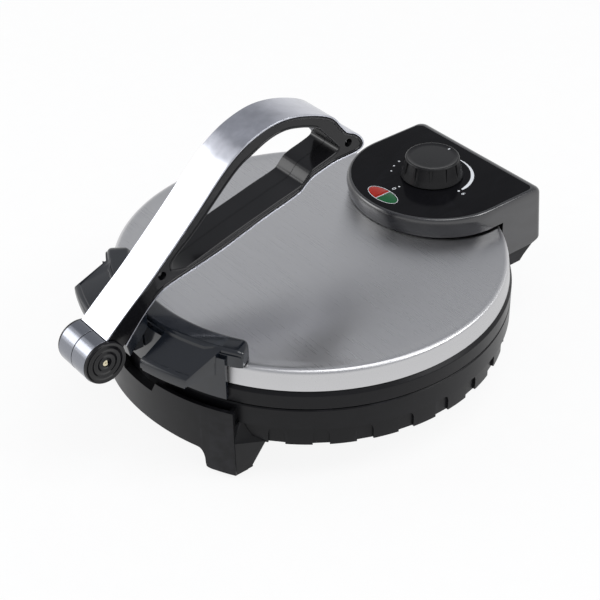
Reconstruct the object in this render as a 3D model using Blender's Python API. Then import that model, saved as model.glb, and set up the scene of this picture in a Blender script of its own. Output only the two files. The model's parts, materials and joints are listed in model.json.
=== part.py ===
"""Electric roti maker: a round countertop flatbread press with a hinged lid and a long pressing handle.

Metres, +Z up. X runs across the object, +Y runs from the handle's barrel at the front to the control
housing at the rear. The rest pose has the lid closed and the handle lying back on its bracket.
"""

import math

import bmesh
import bpy
from mathutils import Matrix, Vector

# Fits shared by all pieces
SEAT_GAP = 0.0003
RUN_GAP = 0.0003
CUT_OVERRUN = 0.002
JOIN_OVERLAP = 0.001

# Smoothness: sides of a full circle
LARGE_SIDES = 72
MEDIUM_SIDES = 24
SMALL_SIDES = 12
TUBE_SIDES = 8
FINE_ANGLE_DEG = 0.01

# Base housing
GROUND_CLEARANCE = 0.028
LOWER_WALL_HEIGHT = 0.0145
UPPER_RING_HEIGHT = 0.0163
RING_RADIUS = 0.1414
RING_STEP = 0.0025
HOUSING_WALL = 0.0026
RING_EDGE = 0.0008
FLANGE_THICKNESS = 0.003
VENT_WIDTH = 0.0112
VENT_HEIGHT = 0.0138
VENT_DEPTH = 0.0018
VENT_STEP_DEG = 12.0
VENT_FIRST_DEG = 42.0
VENT_LAST_DEG = 138.0

# Front apron between the two front legs
APRON_STAND_OFF = 0.0076
APRON_WALL = 0.0028
APRON_LIP = 0.0100
APRON_TOP_DROP = 0.0035
APRON_HALF_ANGLE_DEG = 31.7
APRON_END_ANGLES_DEG = (30.4, 31.5)
APRON_STEPS = 20
ARCH_HEIGHT = 0.0187
ARCH_CROWN = 0.0016
ARCH_HALF_ANGLE_DEG = 21.0
SLOT_TOP_HALF_WIDTH = 0.0223
SLOT_FOOT_HALF_WIDTH = 0.0163
SLOT_DEPTH = 0.0085

# Rounded corner of the arch: direction in degrees, share of the arch's height that is left
ARCH_CORNER_DEG_SHARES = (
    (21.7, 0.965),
    (22.3, 0.885),
    (22.8, 0.74),
    (23.1, 0.55),
    (23.2, 0.25),
    (23.4, 0.09),
    (24.0, 0.05),
    (25.0, 0.03),
)

# Legs and foot pads
LEG_FOOT_ANGLE_DEG = 24.8
LEG_HEAD_ANGLE_DEG = 23.6
LEG_FOOT_ROUND = 0.0016
LEG_DEPTH = 0.0134
LEG_FLARE_ANGLE_DEG = 39.0
LEG_WALL_ANGLE_DEG = 35.3
LEG_TOP_ANGLE_DEG = 32.4
PAD_HEIGHT = 0.002
PAD_SHARE = 0.78
REAR_LEG_ANGLE_DEG = 150.0
REAR_LEG_DEPTH = 0.0249
REAR_LEG_WIDTH = 0.017
REAR_LEG_TAPER = 0.003

# Rear block of the base, under the control housing
REAR_BLOCK_HALF_WIDTH = 0.0620
REAR_BLOCK_STEPS = 12
REAR_BLOCK_TOP_REACH = 0.0178
REAR_BLOCK_HEIGHT = 0.0126
REAR_BLOCK_SHARES = (
    (0.0, 1.0),
    (0.214, 0.978),
    (0.706, 0.551),
    (1.0, 0.360),
)

# Cooking plates
PLATE_INSET = 0.0144
PLATE_EDGE_GAP = 0.0008
PLATE_FACE_DROP = 0.0004
PLATE_LIP_WIDTH = 0.0045
PLATE_LIP_THICKNESS = 0.003
PLATE_EDGE = 0.0008
PLATE_BOSS_RADIUS = 0.012
PLATE_BOSS_HEIGHT = 0.004

# Heating elements and heat shields
ELEMENT_RADIUS = 0.084
ELEMENT_TUBE = 0.0035
ELEMENT_SWEEP_DEG = 320.0
ELEMENT_STEPS = 32
SHIELD_THICKNESS = 0.0012
SHIELD_RIM_INSET = 0.0015
SHIELD_DISH_INSET = 0.0150
SHIELD_DEPTH = 0.0125
SHIELD_VENT_RADIUS = 0.010

# Bottom cover and its screws
COVER_THICKNESS = 0.0015
COVER_RECESS = 0.003
COVER_SLOT_LENGTH = 0.030
COVER_SLOT_WIDTH = 0.004
COVER_SLOT_PITCH = 0.011
COVER_SLOT_COUNT = 5
COVER_SCREW_INSET = 0.0038
COVER_SCREW_ANGLES_DEG = (48.0, 132.0, 228.0, 312.0)
SCREW_BOSS_RADIUS = 0.0045
SCREW_BOSS_HEIGHT = 0.012
SCREW_SHANK_RADIUS = 0.0015
SCREW_SHANK_LENGTH = 0.007
SCREW_HEAD_RADIUS = 0.0035
SCREW_HEAD_HEIGHT = 0.002

# Electrical pieces in the base
TERMINAL_WIDTH = 0.034
TERMINAL_DEPTH = 0.014
TERMINAL_HEIGHT = 0.005
TERMINAL_Y = 0.040
TERMINAL_GROOVES = 3
TERMINAL_GROOVE_WIDTH = 0.003
TERMINAL_GROOVE_DEPTH = 0.002
FUSE_RADIUS = 0.002
FUSE_LENGTH = 0.030
FUSE_NECK_RADIUS = 0.0008
FUSE_NECK_LENGTH = 0.008
FUSE_Y = -0.040

# Lid
PARTING_GAP = 0.0006
SKIRT_HEIGHT = 0.013
SKIRT_CHAMFER = 0.0022
SKIRT_TONGUE_HEIGHT = 0.005
SKIRT_TONGUE_WIDTH = 0.0025
BAND_HEIGHT = 0.0153
BAND_INSET = 0.0017
BAND_DRAFT = 0.0010
LID_SHEET = 0.0012
LID_CORNER = 0.0042
LID_CORNER_STEPS = 3
LID_BEAD_WIDTH = 0.0034
LID_BEAD_HEIGHT = 0.0007
LID_DOME = 0.0012
LID_DOME_MIDDLE_SHARE = 0.75
LID_HOLE_RADIUS = 0.016

# Control housing at the rear of the lid
PANEL_HALF_WIDTH = 0.0605
PANEL_CENTRE_INSET = 0.0274
PANEL_FRONT_DEPTH = 0.0580
PANEL_REAR_OVERHANG = 0.0160
PANEL_RISE = 0.0164
PANEL_THICKNESS = 0.002
PANEL_RIM = 0.0008
BEVEL_REACH = 0.0032
BEVEL_DROP = 0.0050
HOUSING_FOOT_TUCK = 0.0030
HOUSING_SIDE_FLARE = 0.0015
HOUSING_REAR_OVERHANG = 0.0246
HOUSING_REAR_CORNER = 0.0050
HOUSING_REAR_DRAFT = 0.0020
HOUSING_CORNER_RISE = 0.0050
HOUSING_ROOF = 0.0025
HOUSING_ARC_SIDES = 24
HOUSING_RING_GAP = 0.0008
HOUSING_CORNER_STEPS = 3

# Lamps: two halves of a leaf in the panel
LEAF_HALF_LENGTH = 0.0137
LEAF_HALF_WIDTH = 0.0064
LEAF_FROM_KNOB = 0.0459
LEAF_X = -0.0015
LEAF_STEPS = 8
WINDOW_STEPS = 24
LEAF_SPLIT = 0.0012
LAMP_PROUD = 0.0004
HOLDER_HEIGHT = 0.009
HOLDER_EDGE = 0.0008

# Thermostat and knob
THERMOSTAT_RADIUS = 0.014
THERMOSTAT_HEIGHT = 0.011
BUSHING_RADIUS = 0.005
SHAFT_RADIUS = 0.003
SHAFT_IN_THERMOSTAT = 0.005
SHAFT_IN_KNOB = 0.009
KNOB_RADIUS = 0.023
KNOB_TOP_RADIUS = 0.0198
KNOB_HEIGHT = 0.0150
KNOB_GAP = 0.0006
KNOB_EDGE = 0.0012
KNOB_DISH = 0.0006
KNOB_SLOTS = 12
KNOB_SLOT_WIDTH = 0.0024
KNOB_SLOT_DEPTH = 0.0014
KNOB_SLOT_TOP_SHARE = 0.70
KNOB_SLOT_FOOT_SHARE = -0.05
KNOB_HOLLOW_RADIUS = 0.017
KNOB_HOLLOW_DEPTH = 0.005

# Front grip
GRIP_INNER_INSET = 0.0164
GRIP_OUTER_INSET = 0.0004
GRIP_HALF_ANGLE_DEG = 34.0
GRIP_RISE = 0.0120
GRIP_EDGE = 0.0016
GRIP_STEPS = 28
GRIP_END_LENGTH = 0.0060
GRIP_END_SHARE = 0.9
GRIP_WALL_DEPTH = 0.0032
GRIP_WALL_HALF_ANGLE_DEG = 29.5
GRIP_WALL_FOOT = 0.0035
WING_REACH = 0.0246
WING_INNER_ANGLE_DEG = 10.6
WING_OUTER_X_SHARE = 0.4564
WING_ROOT_RISE = 0.0088
WING_TIP_RISE = 0.0003
WING_THICKNESS = 0.0052
WING_LIP_DEPTH = 0.0048
WING_RIB_TIP_DEPTH = 0.0060
WING_RIB_ROOT_DEPTH = 0.0160
WING_RIB_WIDTH = 0.0030
WING_EDGE = 0.0012
WING_STEPS = 10
WING_SIDE_STEPS = 3
GRIP_SCREW_ANGLE_DEG = 20.0
GRIP_SCREW_INSET = 0.0050
GRIP_SCREW_LENGTH = 0.0090

# Handle and its barrel
BARREL_OVERHANG = 0.0384
BARREL_DROP = 0.0016
BARREL_RADIUS = 0.0155
BARREL_SEAM = 0.0030
SLEEVE_SEAM = 0.0006
SLEEVE_SLOT_START_DEG = 200.0
SLEEVE_SLOT_STEPS = 12
SLEEVE_WALL = 0.0038
SLEEVE_START_DEG = 81.0
SLEEVE_END_DEG = 372.0
ARM_FOOT_DEG = 15.0
CAP_THICKNESS = 0.0019
CAP_RING_RADII_SHARES = (0.38, 0.52, 0.72, 0.86)
CAP_RING_HEIGHT = 0.0005
END_SCREW_RADIUS = 0.0022
END_SCREW_CROWN_SHARE = 0.6
PIN_RADIUS = 0.003
HANDLE_LENGTH = 0.2160
HANDLE_HEIGHT = 0.1225
HANDLE_HALF_WIDTH = 0.0150
STRAP_THICKNESS = 0.0012
FRAME_SEAM = 0.0003
HANDLE_CURVE_STEPS = 3
HANDLE_SCREW_SEAT_DEPTH = 0.006
HANDLE_SCREW_SEAT_RADIUS = 0.0030
HANDLE_SCREW_HEAD_RADIUS = 0.0025
HANDLE_SCREW_REACH = 0.008

# Outline of the handle seen from its side, as shares of its length and height from the barrel's axis
STRAP_OUTLINE_SHARES = (
    (0.014, 0.124),
    (0.090, 0.238),
    (0.166, 0.348),
    (0.263, 0.503),
    (0.356, 0.658),
    (0.448, 0.817),
    (0.512, 0.906),
    (0.578, 0.964),
    (0.656, 0.997),
    (0.731, 0.990),
    (0.810, 0.950),
    (0.874, 0.893),
    (0.911, 0.815),
    (0.934, 0.768),
    (0.966, 0.738),
    (0.992, 0.690),
    (0.998, 0.641),
    (0.974, 0.612),
    (0.930, 0.607),
    (0.872, 0.600),
    (0.799, 0.569),
    (0.770, 0.540),
    (0.742, 0.504),
    (0.678, 0.473),
    (0.599, 0.439),
    (0.443, 0.360),
    (0.306, 0.309),
    (0.245, 0.285),
    (0.208, 0.256),
    (0.153, 0.171),
    (0.0815, 0.034),
)
OPENING_OUTLINE_SHARES = (
    (0.261, 0.376),
    (0.270, 0.434),
    (0.352, 0.550),
    (0.499, 0.790),
    (0.570, 0.863),
    (0.635, 0.911),
    (0.694, 0.924),
    (0.750, 0.905),
    (0.796, 0.876),
    (0.820, 0.853),
    (0.836, 0.822),
    (0.866, 0.760),
    (0.890, 0.708),
    (0.896, 0.688),
    (0.886, 0.668),
    (0.850, 0.648),
    (0.812, 0.631),
    (0.788, 0.615),
    (0.772, 0.592),
    (0.757, 0.565),
    (0.738, 0.547),
    (0.658, 0.515),
    (0.590, 0.485),
    (0.475, 0.435),
    (0.285, 0.345),
)
FRONT_SCREW_SHARE = (0.2255, 0.364)
REAR_SCREW_SHARE = (0.937, 0.692)

# Bracket that carries the barrel from the front grip
BRACKET_HALF_WIDTH = 0.0140
BRACKET_PLATE = 0.0080
BRACKET_WEB_HALF_WIDTH = 0.0065
BRACKET_WEB_DROP = 0.0100
BRACKET_FRONT_LEAN = 0.0018
BRACKET_STRAP_GAP = 0.0005
TONGUE_THICKNESS = 0.0022
TONGUE_EYE_RADIUS = 0.008
TONGUE_TOP = 0.0010
TONGUE_DROP = 0.0075
TONGUE_REACH = 0.0270

# Hinge at the rear
HINGE_OVERHANG = 0.0189
HINGE_RISE = 0.0020
KNUCKLE_RADIUS = 0.0045
HINGE_PIN_RADIUS = 0.0020
HINGE_PIN_HALF_LENGTH = 0.0520
BASE_KNUCKLE_START = 0.0200
BASE_KNUCKLE_END = 0.0350
LID_KNUCKLE_START = 0.0356
LID_KNUCKLE_END = 0.0500

# Radii and places that follow from the ring's radius
WALL_RADIUS = RING_RADIUS - RING_STEP
APRON_RADIUS = RING_RADIUS + APRON_STAND_OFF
BAND_RADIUS = RING_RADIUS - BAND_INSET
PLATE_RADIUS = RING_RADIUS - PLATE_INSET
PLATE_WELL_RADIUS = PLATE_RADIUS + PLATE_EDGE_GAP
SHIELD_RIM_RADIUS = PLATE_RADIUS - SHIELD_RIM_INSET
SHIELD_DISH_RADIUS = PLATE_RADIUS - SHIELD_DISH_INSET
COVER_SCREW_CIRCLE = WALL_RADIUS - HOUSING_WALL - COVER_SCREW_INSET
REAR_LEG_INNER_RADIUS = WALL_RADIUS - REAR_LEG_DEPTH
PANEL_CENTRE_Y = RING_RADIUS - PANEL_CENTRE_INSET
PANEL_REAR_Y = RING_RADIUS + PANEL_REAR_OVERHANG
HOUSING_REAR_REACH = RING_RADIUS + HOUSING_REAR_OVERHANG
LEAF_Y = PANEL_CENTRE_Y - LEAF_FROM_KNOB
GRIP_INNER_RADIUS = RING_RADIUS - GRIP_INNER_INSET
GRIP_OUTER_RADIUS = RING_RADIUS - GRIP_OUTER_INSET
GRIP_WALL_RADIUS = RING_RADIUS + GRIP_WALL_DEPTH
GRIP_SCREW_CIRCLE = GRIP_INNER_RADIUS + GRIP_SCREW_INSET
WING_REACH_RADIUS = RING_RADIUS + WING_REACH
WING_OUTER_X = GRIP_WALL_RADIUS * WING_OUTER_X_SHARE
HINGE_Y = RING_RADIUS + HINGE_OVERHANG
BARREL_Y = -RING_RADIUS - BARREL_OVERHANG

# Heights that follow from the sizes above
LEDGE_Z = GROUND_CLEARANCE + LOWER_WALL_HEIGHT
SEAM_Z = LEDGE_Z + UPPER_RING_HEIGHT
LID_FOOT_Z = SEAM_Z + PARTING_GAP
SKIRT_TOP_Z = LID_FOOT_Z + SKIRT_HEIGHT
BAND_FOOT_Z = SKIRT_TOP_Z + SEAT_GAP
RIM_Z = BAND_FOOT_Z + BAND_HEIGHT
BEAD_TOP_Z = RIM_Z + LID_BEAD_HEIGHT
DOME_TOP_Z = RIM_Z + LID_DOME
PANEL_TOP_Z = RIM_Z + PANEL_RISE
PANEL_SEAT_Z = PANEL_TOP_Z - PANEL_THICKNESS - SEAT_GAP
ROOF_UNDERSIDE_Z = PANEL_SEAT_Z - HOUSING_ROOF
HOUSING_FOOT_Z = DOME_TOP_Z + SEAT_GAP
KNOB_FOOT_Z = PANEL_TOP_Z + KNOB_GAP
GRIP_SCREW_Z = RIM_Z - LID_SHEET - SEAT_GAP
BARREL_Z = RIM_Z - BARREL_DROP
HINGE_Z = SEAM_Z + HINGE_RISE
LOWER_FACE_Z = SEAM_Z - PLATE_FACE_DROP
UPPER_FACE_Z = LID_FOOT_Z + PLATE_FACE_DROP
LOWER_PLATE_BACK_Z = SEAM_Z - FLANGE_THICKNESS - SEAT_GAP - PLATE_LIP_THICKNESS
UPPER_PLATE_BACK_Z = LID_FOOT_Z + FLANGE_THICKNESS + SEAT_GAP + PLATE_LIP_THICKNESS
COVER_Z = GROUND_CLEARANCE + COVER_RECESS
LEG_FOOT_Z = PAD_HEIGHT + SEAT_GAP

# The whole object stands with its middle on the origin
FRONT_REACH = -BARREL_Y + BARREL_RADIUS
AXIS_Y = (FRONT_REACH - HOUSING_REAR_REACH) / 2


# Mesh tools

def new_object(name, mesh, pivot):
    """Adds a mesh, drawn round the plates' axis, under the empty that carries its body."""
    obj = bpy.data.objects.new(name, mesh)
    bpy.context.scene.collection.objects.link(obj)
    obj.parent = pivot
    obj.location = -pivot_place(pivot)
    return obj


def pivot_place(pivot):
    """Place of an empty from the plates' axis at floor level."""
    place = Vector()
    while pivot.parent is not None:
        place += pivot.location
        pivot = pivot.parent
    return place


def mesh_from(name, points, faces):
    """A closed mesh whose faces point out."""
    mesh = bpy.data.meshes.new(name)
    work = bmesh.new()
    corners = [work.verts.new(point) for point in points]
    for face in faces:
        work.faces.new([corners[index] for index in face])
    bmesh.ops.recalc_face_normals(work, faces=work.faces)
    work.to_mesh(mesh)
    work.free()
    return mesh


def ring_faces(start, count, next_start):
    """Quads between two closed rings of points."""
    return [
        (start + i, start + (i + 1) % count, next_start + (i + 1) % count, next_start + i)
        for i in range(count)
    ]


def lofted(name, rings):
    """Solid through closed rings of equal length, with flat ends."""
    count = len(rings[0])
    points = [point for ring in rings for point in ring]
    faces = []
    for level in range(len(rings) - 1):
        faces += ring_faces(level * count, count, (level + 1) * count)
    faces.append(tuple(range(count)))
    faces.append(tuple(range((len(rings) - 1) * count, len(rings) * count)))
    return mesh_from(name, points, faces)


def turned(name, profile, sides, centre=(0.0, 0.0), turn=0.0):
    """Solid of revolution about a vertical axis, from a closed profile of (radius, height)."""
    points = []
    starts = []
    for radius, height in profile:
        starts.append(len(points))
        if radius <= 0:
            points.append((centre[0], centre[1], height))
            continue
        for i in range(sides):
            angle = turn + math.tau * i / sides
            x = centre[0] + radius * math.cos(angle)
            y = centre[1] + radius * math.sin(angle)
            points.append((x, y, height))
    faces = []
    for k, (radius, _) in enumerate(profile):
        after = (k + 1) % len(profile)
        next_radius = profile[after][0]
        if radius <= 0 and next_radius <= 0:
            continue
        if radius <= 0:
            faces += [(starts[k], starts[after] + i, starts[after] + (i + 1) % sides) for i in range(sides)]
        elif next_radius <= 0:
            faces += [(starts[after], starts[k] + i, starts[k] + (i + 1) % sides) for i in range(sides)]
        else:
            faces += ring_faces(starts[k], sides, starts[after])
    return mesh_from(name, points, faces)


def swept(name, angles, section):
    """Solid swept round the plates' axis: section(angle) gives closed (radius, height) points.

    Angles are counted from the front, where the handle's barrel is, towards +X.
    """
    rings = []
    for angle in angles:
        rings.append([(r * math.sin(angle), -r * math.cos(angle), z) for r, z in section(angle)])
    return lofted(name, rings)


def extruded_x(name, outline, low, high):
    """Solid between two planes square to X, from closed (y, z) points."""
    return lofted(name, [[(x, y, z) for y, z in outline] for x in (low, high)])


def extruded_z(name, outline, low, high):
    """Solid between two heights, from closed (x, y) points."""
    return lofted(name, [[(x, y, z) for x, y in outline] for z in (low, high)])


def block(name, low, high):
    """Rectangular block between two corners."""
    outline = [(low[0], low[1]), (high[0], low[1]), (high[0], high[1]), (low[0], high[1])]
    return extruded_z(name, outline, low[2], high[2])


def rod_x(name, radius, low, high, y, z, sides):
    """Round rod along X."""
    return extruded_x(name, circle(radius, sides, y, z), low, high)


def circle(radius, sides, u=0.0, v=0.0):
    """Closed points of a circle."""
    return [
        (u + radius * math.cos(math.tau * i / sides), v + radius * math.sin(math.tau * i / sides))
        for i in range(sides)
    ]


def spread(low, high, steps):
    """Evenly spaced values, both ends included."""
    return [low + (high - low) * i / steps for i in range(steps + 1)]


def smooth_curve(points, steps):
    """Points on a smooth curve through an open row of (u, v) points."""
    padded = [points[0], *points, points[-1]]
    curve = []
    for k in range(1, len(padded) - 2):
        before, start, end, after = (Vector(padded[k + i]) for i in (-1, 0, 1, 2))
        for i in range(steps):
            t = i / steps
            pull = (end - before) * t + (2 * before - 5 * start + 4 * end - after) * t * t
            pull += (3 * start - 3 * end + after - before) * t * t * t
            curve.append(tuple(start + pull / 2))
    curve.append(tuple(points[-1]))
    return curve


def offset_inwards(points, distance):
    """Open row of points moved to its right-hand side by a distance."""
    moved = []
    for k, point in enumerate(points):
        before = Vector(points[max(k - 1, 0)])
        after = Vector(points[min(k + 1, len(points) - 1)])
        along = (after - before).normalized()
        moved.append((point[0] + along.y * distance, point[1] - along.x * distance))
    return moved


def helper(name, mesh, pivot):
    """A cutting or joining body that isn't a piece by itself."""
    obj = new_object(name, mesh, pivot)
    obj.hide_render = True
    obj.display_type = "WIRE"
    return obj


def combine(obj, mesh, operation):
    """Cuts a mesh from a piece, or joins it on."""
    tool = helper(obj.name + "_tool_" + str(len(obj.modifiers)), mesh, obj.parent)
    modifier = obj.modifiers.new(operation.lower(), "BOOLEAN")
    modifier.operation = operation
    modifier.solver = "EXACT"
    modifier.object = tool


def cut(obj, mesh):
    combine(obj, mesh, "DIFFERENCE")


def join(obj, mesh):
    combine(obj, mesh, "UNION")


def edge_round(obj, width, angle_deg=40.0, segments=1):
    """Breaks the sharp edges of a piece."""
    modifier = obj.modifiers.new("edges", "BEVEL")
    modifier.width = width
    modifier.segments = segments
    modifier.limit_method = "ANGLE"
    modifier.angle_limit = math.radians(angle_deg)


def finish(obj, material, smooth=True):
    """Gives a piece its material and soft shading."""
    obj.data.materials.append(material)
    if smooth:
        obj.data.shade_smooth()
        obj.data.set_sharp_from_angle(angle=math.radians(35.0))
    return obj


# Materials

def make_material(name, colour, roughness, metallic=0.0):
    material = bpy.data.materials.new(name)
    material.use_nodes = True
    shader = material.node_tree.nodes["Principled BSDF"]
    shader.inputs["Base Color"].default_value = (*colour, 1.0)
    shader.inputs["Roughness"].default_value = roughness
    shader.inputs["Metallic"].default_value = metallic
    return material


def make_materials():
    return {
        "black_plastic": make_material("black_plastic", (0.018, 0.019, 0.022), 0.42),
        "gloss_black": make_material("gloss_black", (0.012, 0.013, 0.015), 0.12),
        "knob_plastic": make_material("knob_plastic", (0.030, 0.031, 0.034), 0.50),
        "brushed_steel": make_material("brushed_steel", (0.46, 0.46, 0.47), 0.30, 1.0),
        "polished_steel": make_material("polished_steel", (0.72, 0.73, 0.75), 0.14, 1.0),
        "plain_steel": make_material("plain_steel", (0.42, 0.42, 0.43), 0.35, 1.0),
        "brass": make_material("brass", (0.60, 0.45, 0.20), 0.30, 1.0),
        "non_stick": make_material("non_stick", (0.035, 0.035, 0.037), 0.45),
        "shield_steel": make_material("shield_steel", (0.55, 0.55, 0.56), 0.30, 1.0),
        "element_steel": make_material("element_steel", (0.16, 0.15, 0.15), 0.50, 1.0),
        "rubber": make_material("rubber", (0.02, 0.02, 0.02), 0.85),
        "ceramic": make_material("ceramic", (0.75, 0.72, 0.66), 0.55),
        "red_lens": make_material("red_lens", (0.42, 0.015, 0.008), 0.18),
        "green_lens": make_material("green_lens", (0.010, 0.13, 0.035), 0.18),
    }


# Base

def ring_section():
    """Closed section of the base ring: thick upper ring, thinner lower wall and the plate's seat flange."""
    inner_ring = RING_RADIUS - HOUSING_WALL
    inner_wall = WALL_RADIUS - HOUSING_WALL
    flange_z = SEAM_Z - FLANGE_THICKNESS
    return [
        (PLATE_WELL_RADIUS, SEAM_Z),
        (RING_RADIUS - RING_EDGE, SEAM_Z),
        (RING_RADIUS, SEAM_Z - RING_EDGE),
        (RING_RADIUS, LEDGE_Z + RING_EDGE),
        (WALL_RADIUS, LEDGE_Z),
        (WALL_RADIUS, GROUND_CLEARANCE),
        (inner_wall, GROUND_CLEARANCE),
        (inner_wall, LEDGE_Z),
        (inner_ring, LEDGE_Z + RING_STEP),
        (inner_ring, flange_z),
        (PLATE_WELL_RADIUS, flange_z),
    ]


def arch_height(angle):
    """Height of the apron's lower edge above the floor: a low arch with a rounded corner at each leg."""
    reach = abs(math.degrees(angle))
    if reach <= ARCH_HALF_ANGLE_DEG:
        return ARCH_HEIGHT + ARCH_CROWN * math.cos(math.pi / 2 * reach / ARCH_HALF_ANGLE_DEG)
    share = ARCH_CORNER_DEG_SHARES[-1][1]
    for corner_deg, corner_share in reversed(ARCH_CORNER_DEG_SHARES):
        if reach <= corner_deg + FINE_ANGLE_DEG:
            share = corner_share
    return LEG_FOOT_Z + (ARCH_HEIGHT - LEG_FOOT_Z) * share


def apron_section(angle):
    """Section of the apron: outer wall with a lip above the web that ties it to the ring."""
    foot = arch_height(angle)
    top = SEAM_Z - APRON_TOP_DROP
    web_top = top - APRON_LIP
    web_foot = web_top - APRON_WALL
    inner = APRON_RADIUS - APRON_WALL
    root = RING_RADIUS - JOIN_OVERLAP
    return [
        (APRON_RADIUS, foot),
        (APRON_RADIUS, top),
        (inner, top),
        (inner, web_top),
        (root, web_top),
        (root, web_foot),
        (inner, web_foot),
        (inner, foot),
    ]


def apron_angles():
    """Directions of the apron's sections, closer together where the arch turns down into a leg."""
    arch = math.radians(ARCH_HALF_ANGLE_DEG)
    right = [math.radians(corner_deg) for corner_deg, share in ARCH_CORNER_DEG_SHARES]
    right += spread(right[-1], math.radians(APRON_HALF_ANGLE_DEG), 2)[1:]
    return [-angle for angle in reversed(right)] + spread(-arch, arch, APRON_STEPS) + right


def apron_end(side):
    """Wall between the apron's end and the ring, above the web."""
    ends = APRON_END_ANGLES_DEG
    root = RING_RADIUS - JOIN_OVERLAP
    outer = APRON_RADIUS - APRON_WALL / 2
    corners = [(root, ends[0]), (outer, ends[0]), (outer, ends[1]), (root, ends[1])]
    plan = [
        (side * radius * math.sin(math.radians(turn)), -radius * math.cos(math.radians(turn)))
        for radius, turn in corners
    ]
    top = SEAM_Z - APRON_TOP_DROP - SEAT_GAP
    return extruded_z("apron_end", plan, top - APRON_LIP - APRON_WALL / 2, top)


def apron_slot():
    """Slot in the apron's top edge, narrower at its floor."""
    top = SEAM_Z
    floor = SEAM_Z - APRON_TOP_DROP - SLOT_DEPTH
    rings = []
    for y in (-APRON_RADIUS - CUT_OVERRUN, -RING_RADIUS - PARTING_GAP):
        rings.append(
            [
                (-SLOT_FOOT_HALF_WIDTH, y, floor),
                (SLOT_FOOT_HALF_WIDTH, y, floor),
                (SLOT_TOP_HALF_WIDTH, y, top),
                (-SLOT_TOP_HALF_WIDTH, y, top),
            ]
        )
    return lofted("slot", rings)


def inside_form():
    """Room for the bottom cover inside the wall, cut out of the legs' heads."""
    radius = WALL_RADIUS - HOUSING_WALL - SEAT_GAP / 3
    low = COVER_Z - SEAT_GAP
    high = LEDGE_Z + RING_STEP
    return turned("inside", [(0, low), (radius, low), (radius, high), (0, high)], LARGE_SIDES)


def leg_ring(side, start_deg, z, wall_deg=None):
    """Plan of a front leg at one height, behind the apron's outer face.

    Where wall_deg is given, the leg's side runs back to the ring's wall in that direction.
    """
    radius = APRON_RADIUS - APRON_WALL / 2
    end = math.radians(APRON_HALF_ANGLE_DEG - FINE_ANGLE_DEG)
    ring = []
    for angle in spread(math.radians(start_deg), end, 3):
        ring.append((side * radius * math.sin(angle), -radius * math.cos(angle), z))
    corner = (ring[-1][0], -radius * math.cos(end) + LEG_DEPTH, z)
    if wall_deg is not None:
        wall = WALL_RADIUS + SEAT_GAP
        turn = math.radians(wall_deg)
        corner = (side * wall * math.sin(turn), -wall * math.cos(turn), z)
    ring.append(corner)
    ring.append((ring[0][0], corner[1], z))
    return ring


def front_leg(side):
    """Front leg behind the apron's end, its side flaring back to the ring's wall."""
    top_z = SEAM_Z - APRON_TOP_DROP - APRON_LIP - APRON_WALL / 2
    rings = [
        leg_ring(side, LEG_FOOT_ANGLE_DEG, LEG_FOOT_Z),
        leg_ring(side, LEG_HEAD_ANGLE_DEG, LEG_FOOT_Z + LEG_FOOT_ROUND),
        leg_ring(side, LEG_HEAD_ANGLE_DEG, GROUND_CLEARANCE + JOIN_OVERLAP, LEG_FLARE_ANGLE_DEG),
        leg_ring(side, LEG_HEAD_ANGLE_DEG, COVER_Z + JOIN_OVERLAP, LEG_WALL_ANGLE_DEG),
        leg_ring(side, LEG_HEAD_ANGLE_DEG, top_z, LEG_TOP_ANGLE_DEG),
    ]
    return lofted("front_leg", rings)


def rear_leg_ring(side, inset, z):
    """Plan of a rear leg at one height: a radial block that grows out of the ring's wall."""
    angle = math.radians(REAR_LEG_ANGLE_DEG)
    out = Vector((side * math.sin(angle), -math.cos(angle), 0))
    across = Vector((-out.y, out.x, 0))
    half = REAR_LEG_WIDTH / 2 - inset
    inner = REAR_LEG_INNER_RADIUS + inset
    outer = WALL_RADIUS - JOIN_OVERLAP / 2 - inset
    ring = []
    for radius, offset in ((inner, -half), (outer, -half), (outer, half), (inner, half)):
        ring.append(tuple(out * radius + across * offset + Vector((0, 0, z))))
    return ring


def rear_leg(side):
    top_z = COVER_Z - SEAT_GAP
    return lofted(
        "rear_leg",
        [
            rear_leg_ring(side, REAR_LEG_TAPER, LEG_FOOT_Z),
            rear_leg_ring(side, 0, GROUND_CLEARANCE - REAR_LEG_TAPER),
            rear_leg_ring(side, 0, top_z),
        ],
    )


def rear_block():
    """Block outside the ring that carries the hinge: upright at the top, slanting in below."""
    root = RING_RADIUS - JOIN_OVERLAP
    half = REAR_BLOCK_HALF_WIDTH
    end = math.asin(half / root)
    arc = [(root * math.sin(turn), root * math.cos(turn)) for turn in spread(-end, end, REAR_BLOCK_STEPS)]
    rings = []
    for drop_share, reach_share in REAR_BLOCK_SHARES:
        z = SEAM_Z - SEAT_GAP - REAR_BLOCK_HEIGHT * drop_share
        reach = RING_RADIUS + REAR_BLOCK_TOP_REACH * reach_share
        rings.append([(x, y, z) for x, y in [*arc, (half, reach), (-half, reach)]])
    return lofted("rear_block", rings)


def vent_notch(angle):
    """Round-topped notch in the wall's outer face, open at its lower edge."""
    half = VENT_WIDTH / 2
    low = GROUND_CLEARANCE - CUT_OVERRUN
    shoulder = GROUND_CLEARANCE + VENT_HEIGHT - half
    outline = [(-half, low), (half, low)]
    outline += [(half * math.cos(turn), shoulder + half * math.sin(turn)) for turn in spread(0, math.pi, 6)]
    across = Vector((math.cos(angle), math.sin(angle), 0))
    out = Vector((math.sin(angle), -math.cos(angle), 0))
    rings = []
    for radius in (WALL_RADIUS - VENT_DEPTH, WALL_RADIUS + CUT_OVERRUN):
        rings.append([tuple(out * radius + across * u + Vector((0, 0, z))) for u, z in outline])
    return rings


def vent_angles():
    """Directions of the notches, counted from the front, on both sides."""
    count = round((VENT_LAST_DEG - VENT_FIRST_DEG) / VENT_STEP_DEG)
    angles = [math.radians(VENT_FIRST_DEG + VENT_STEP_DEG * i) for i in range(count + 1)]
    return angles + [-angle for angle in angles]


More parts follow.
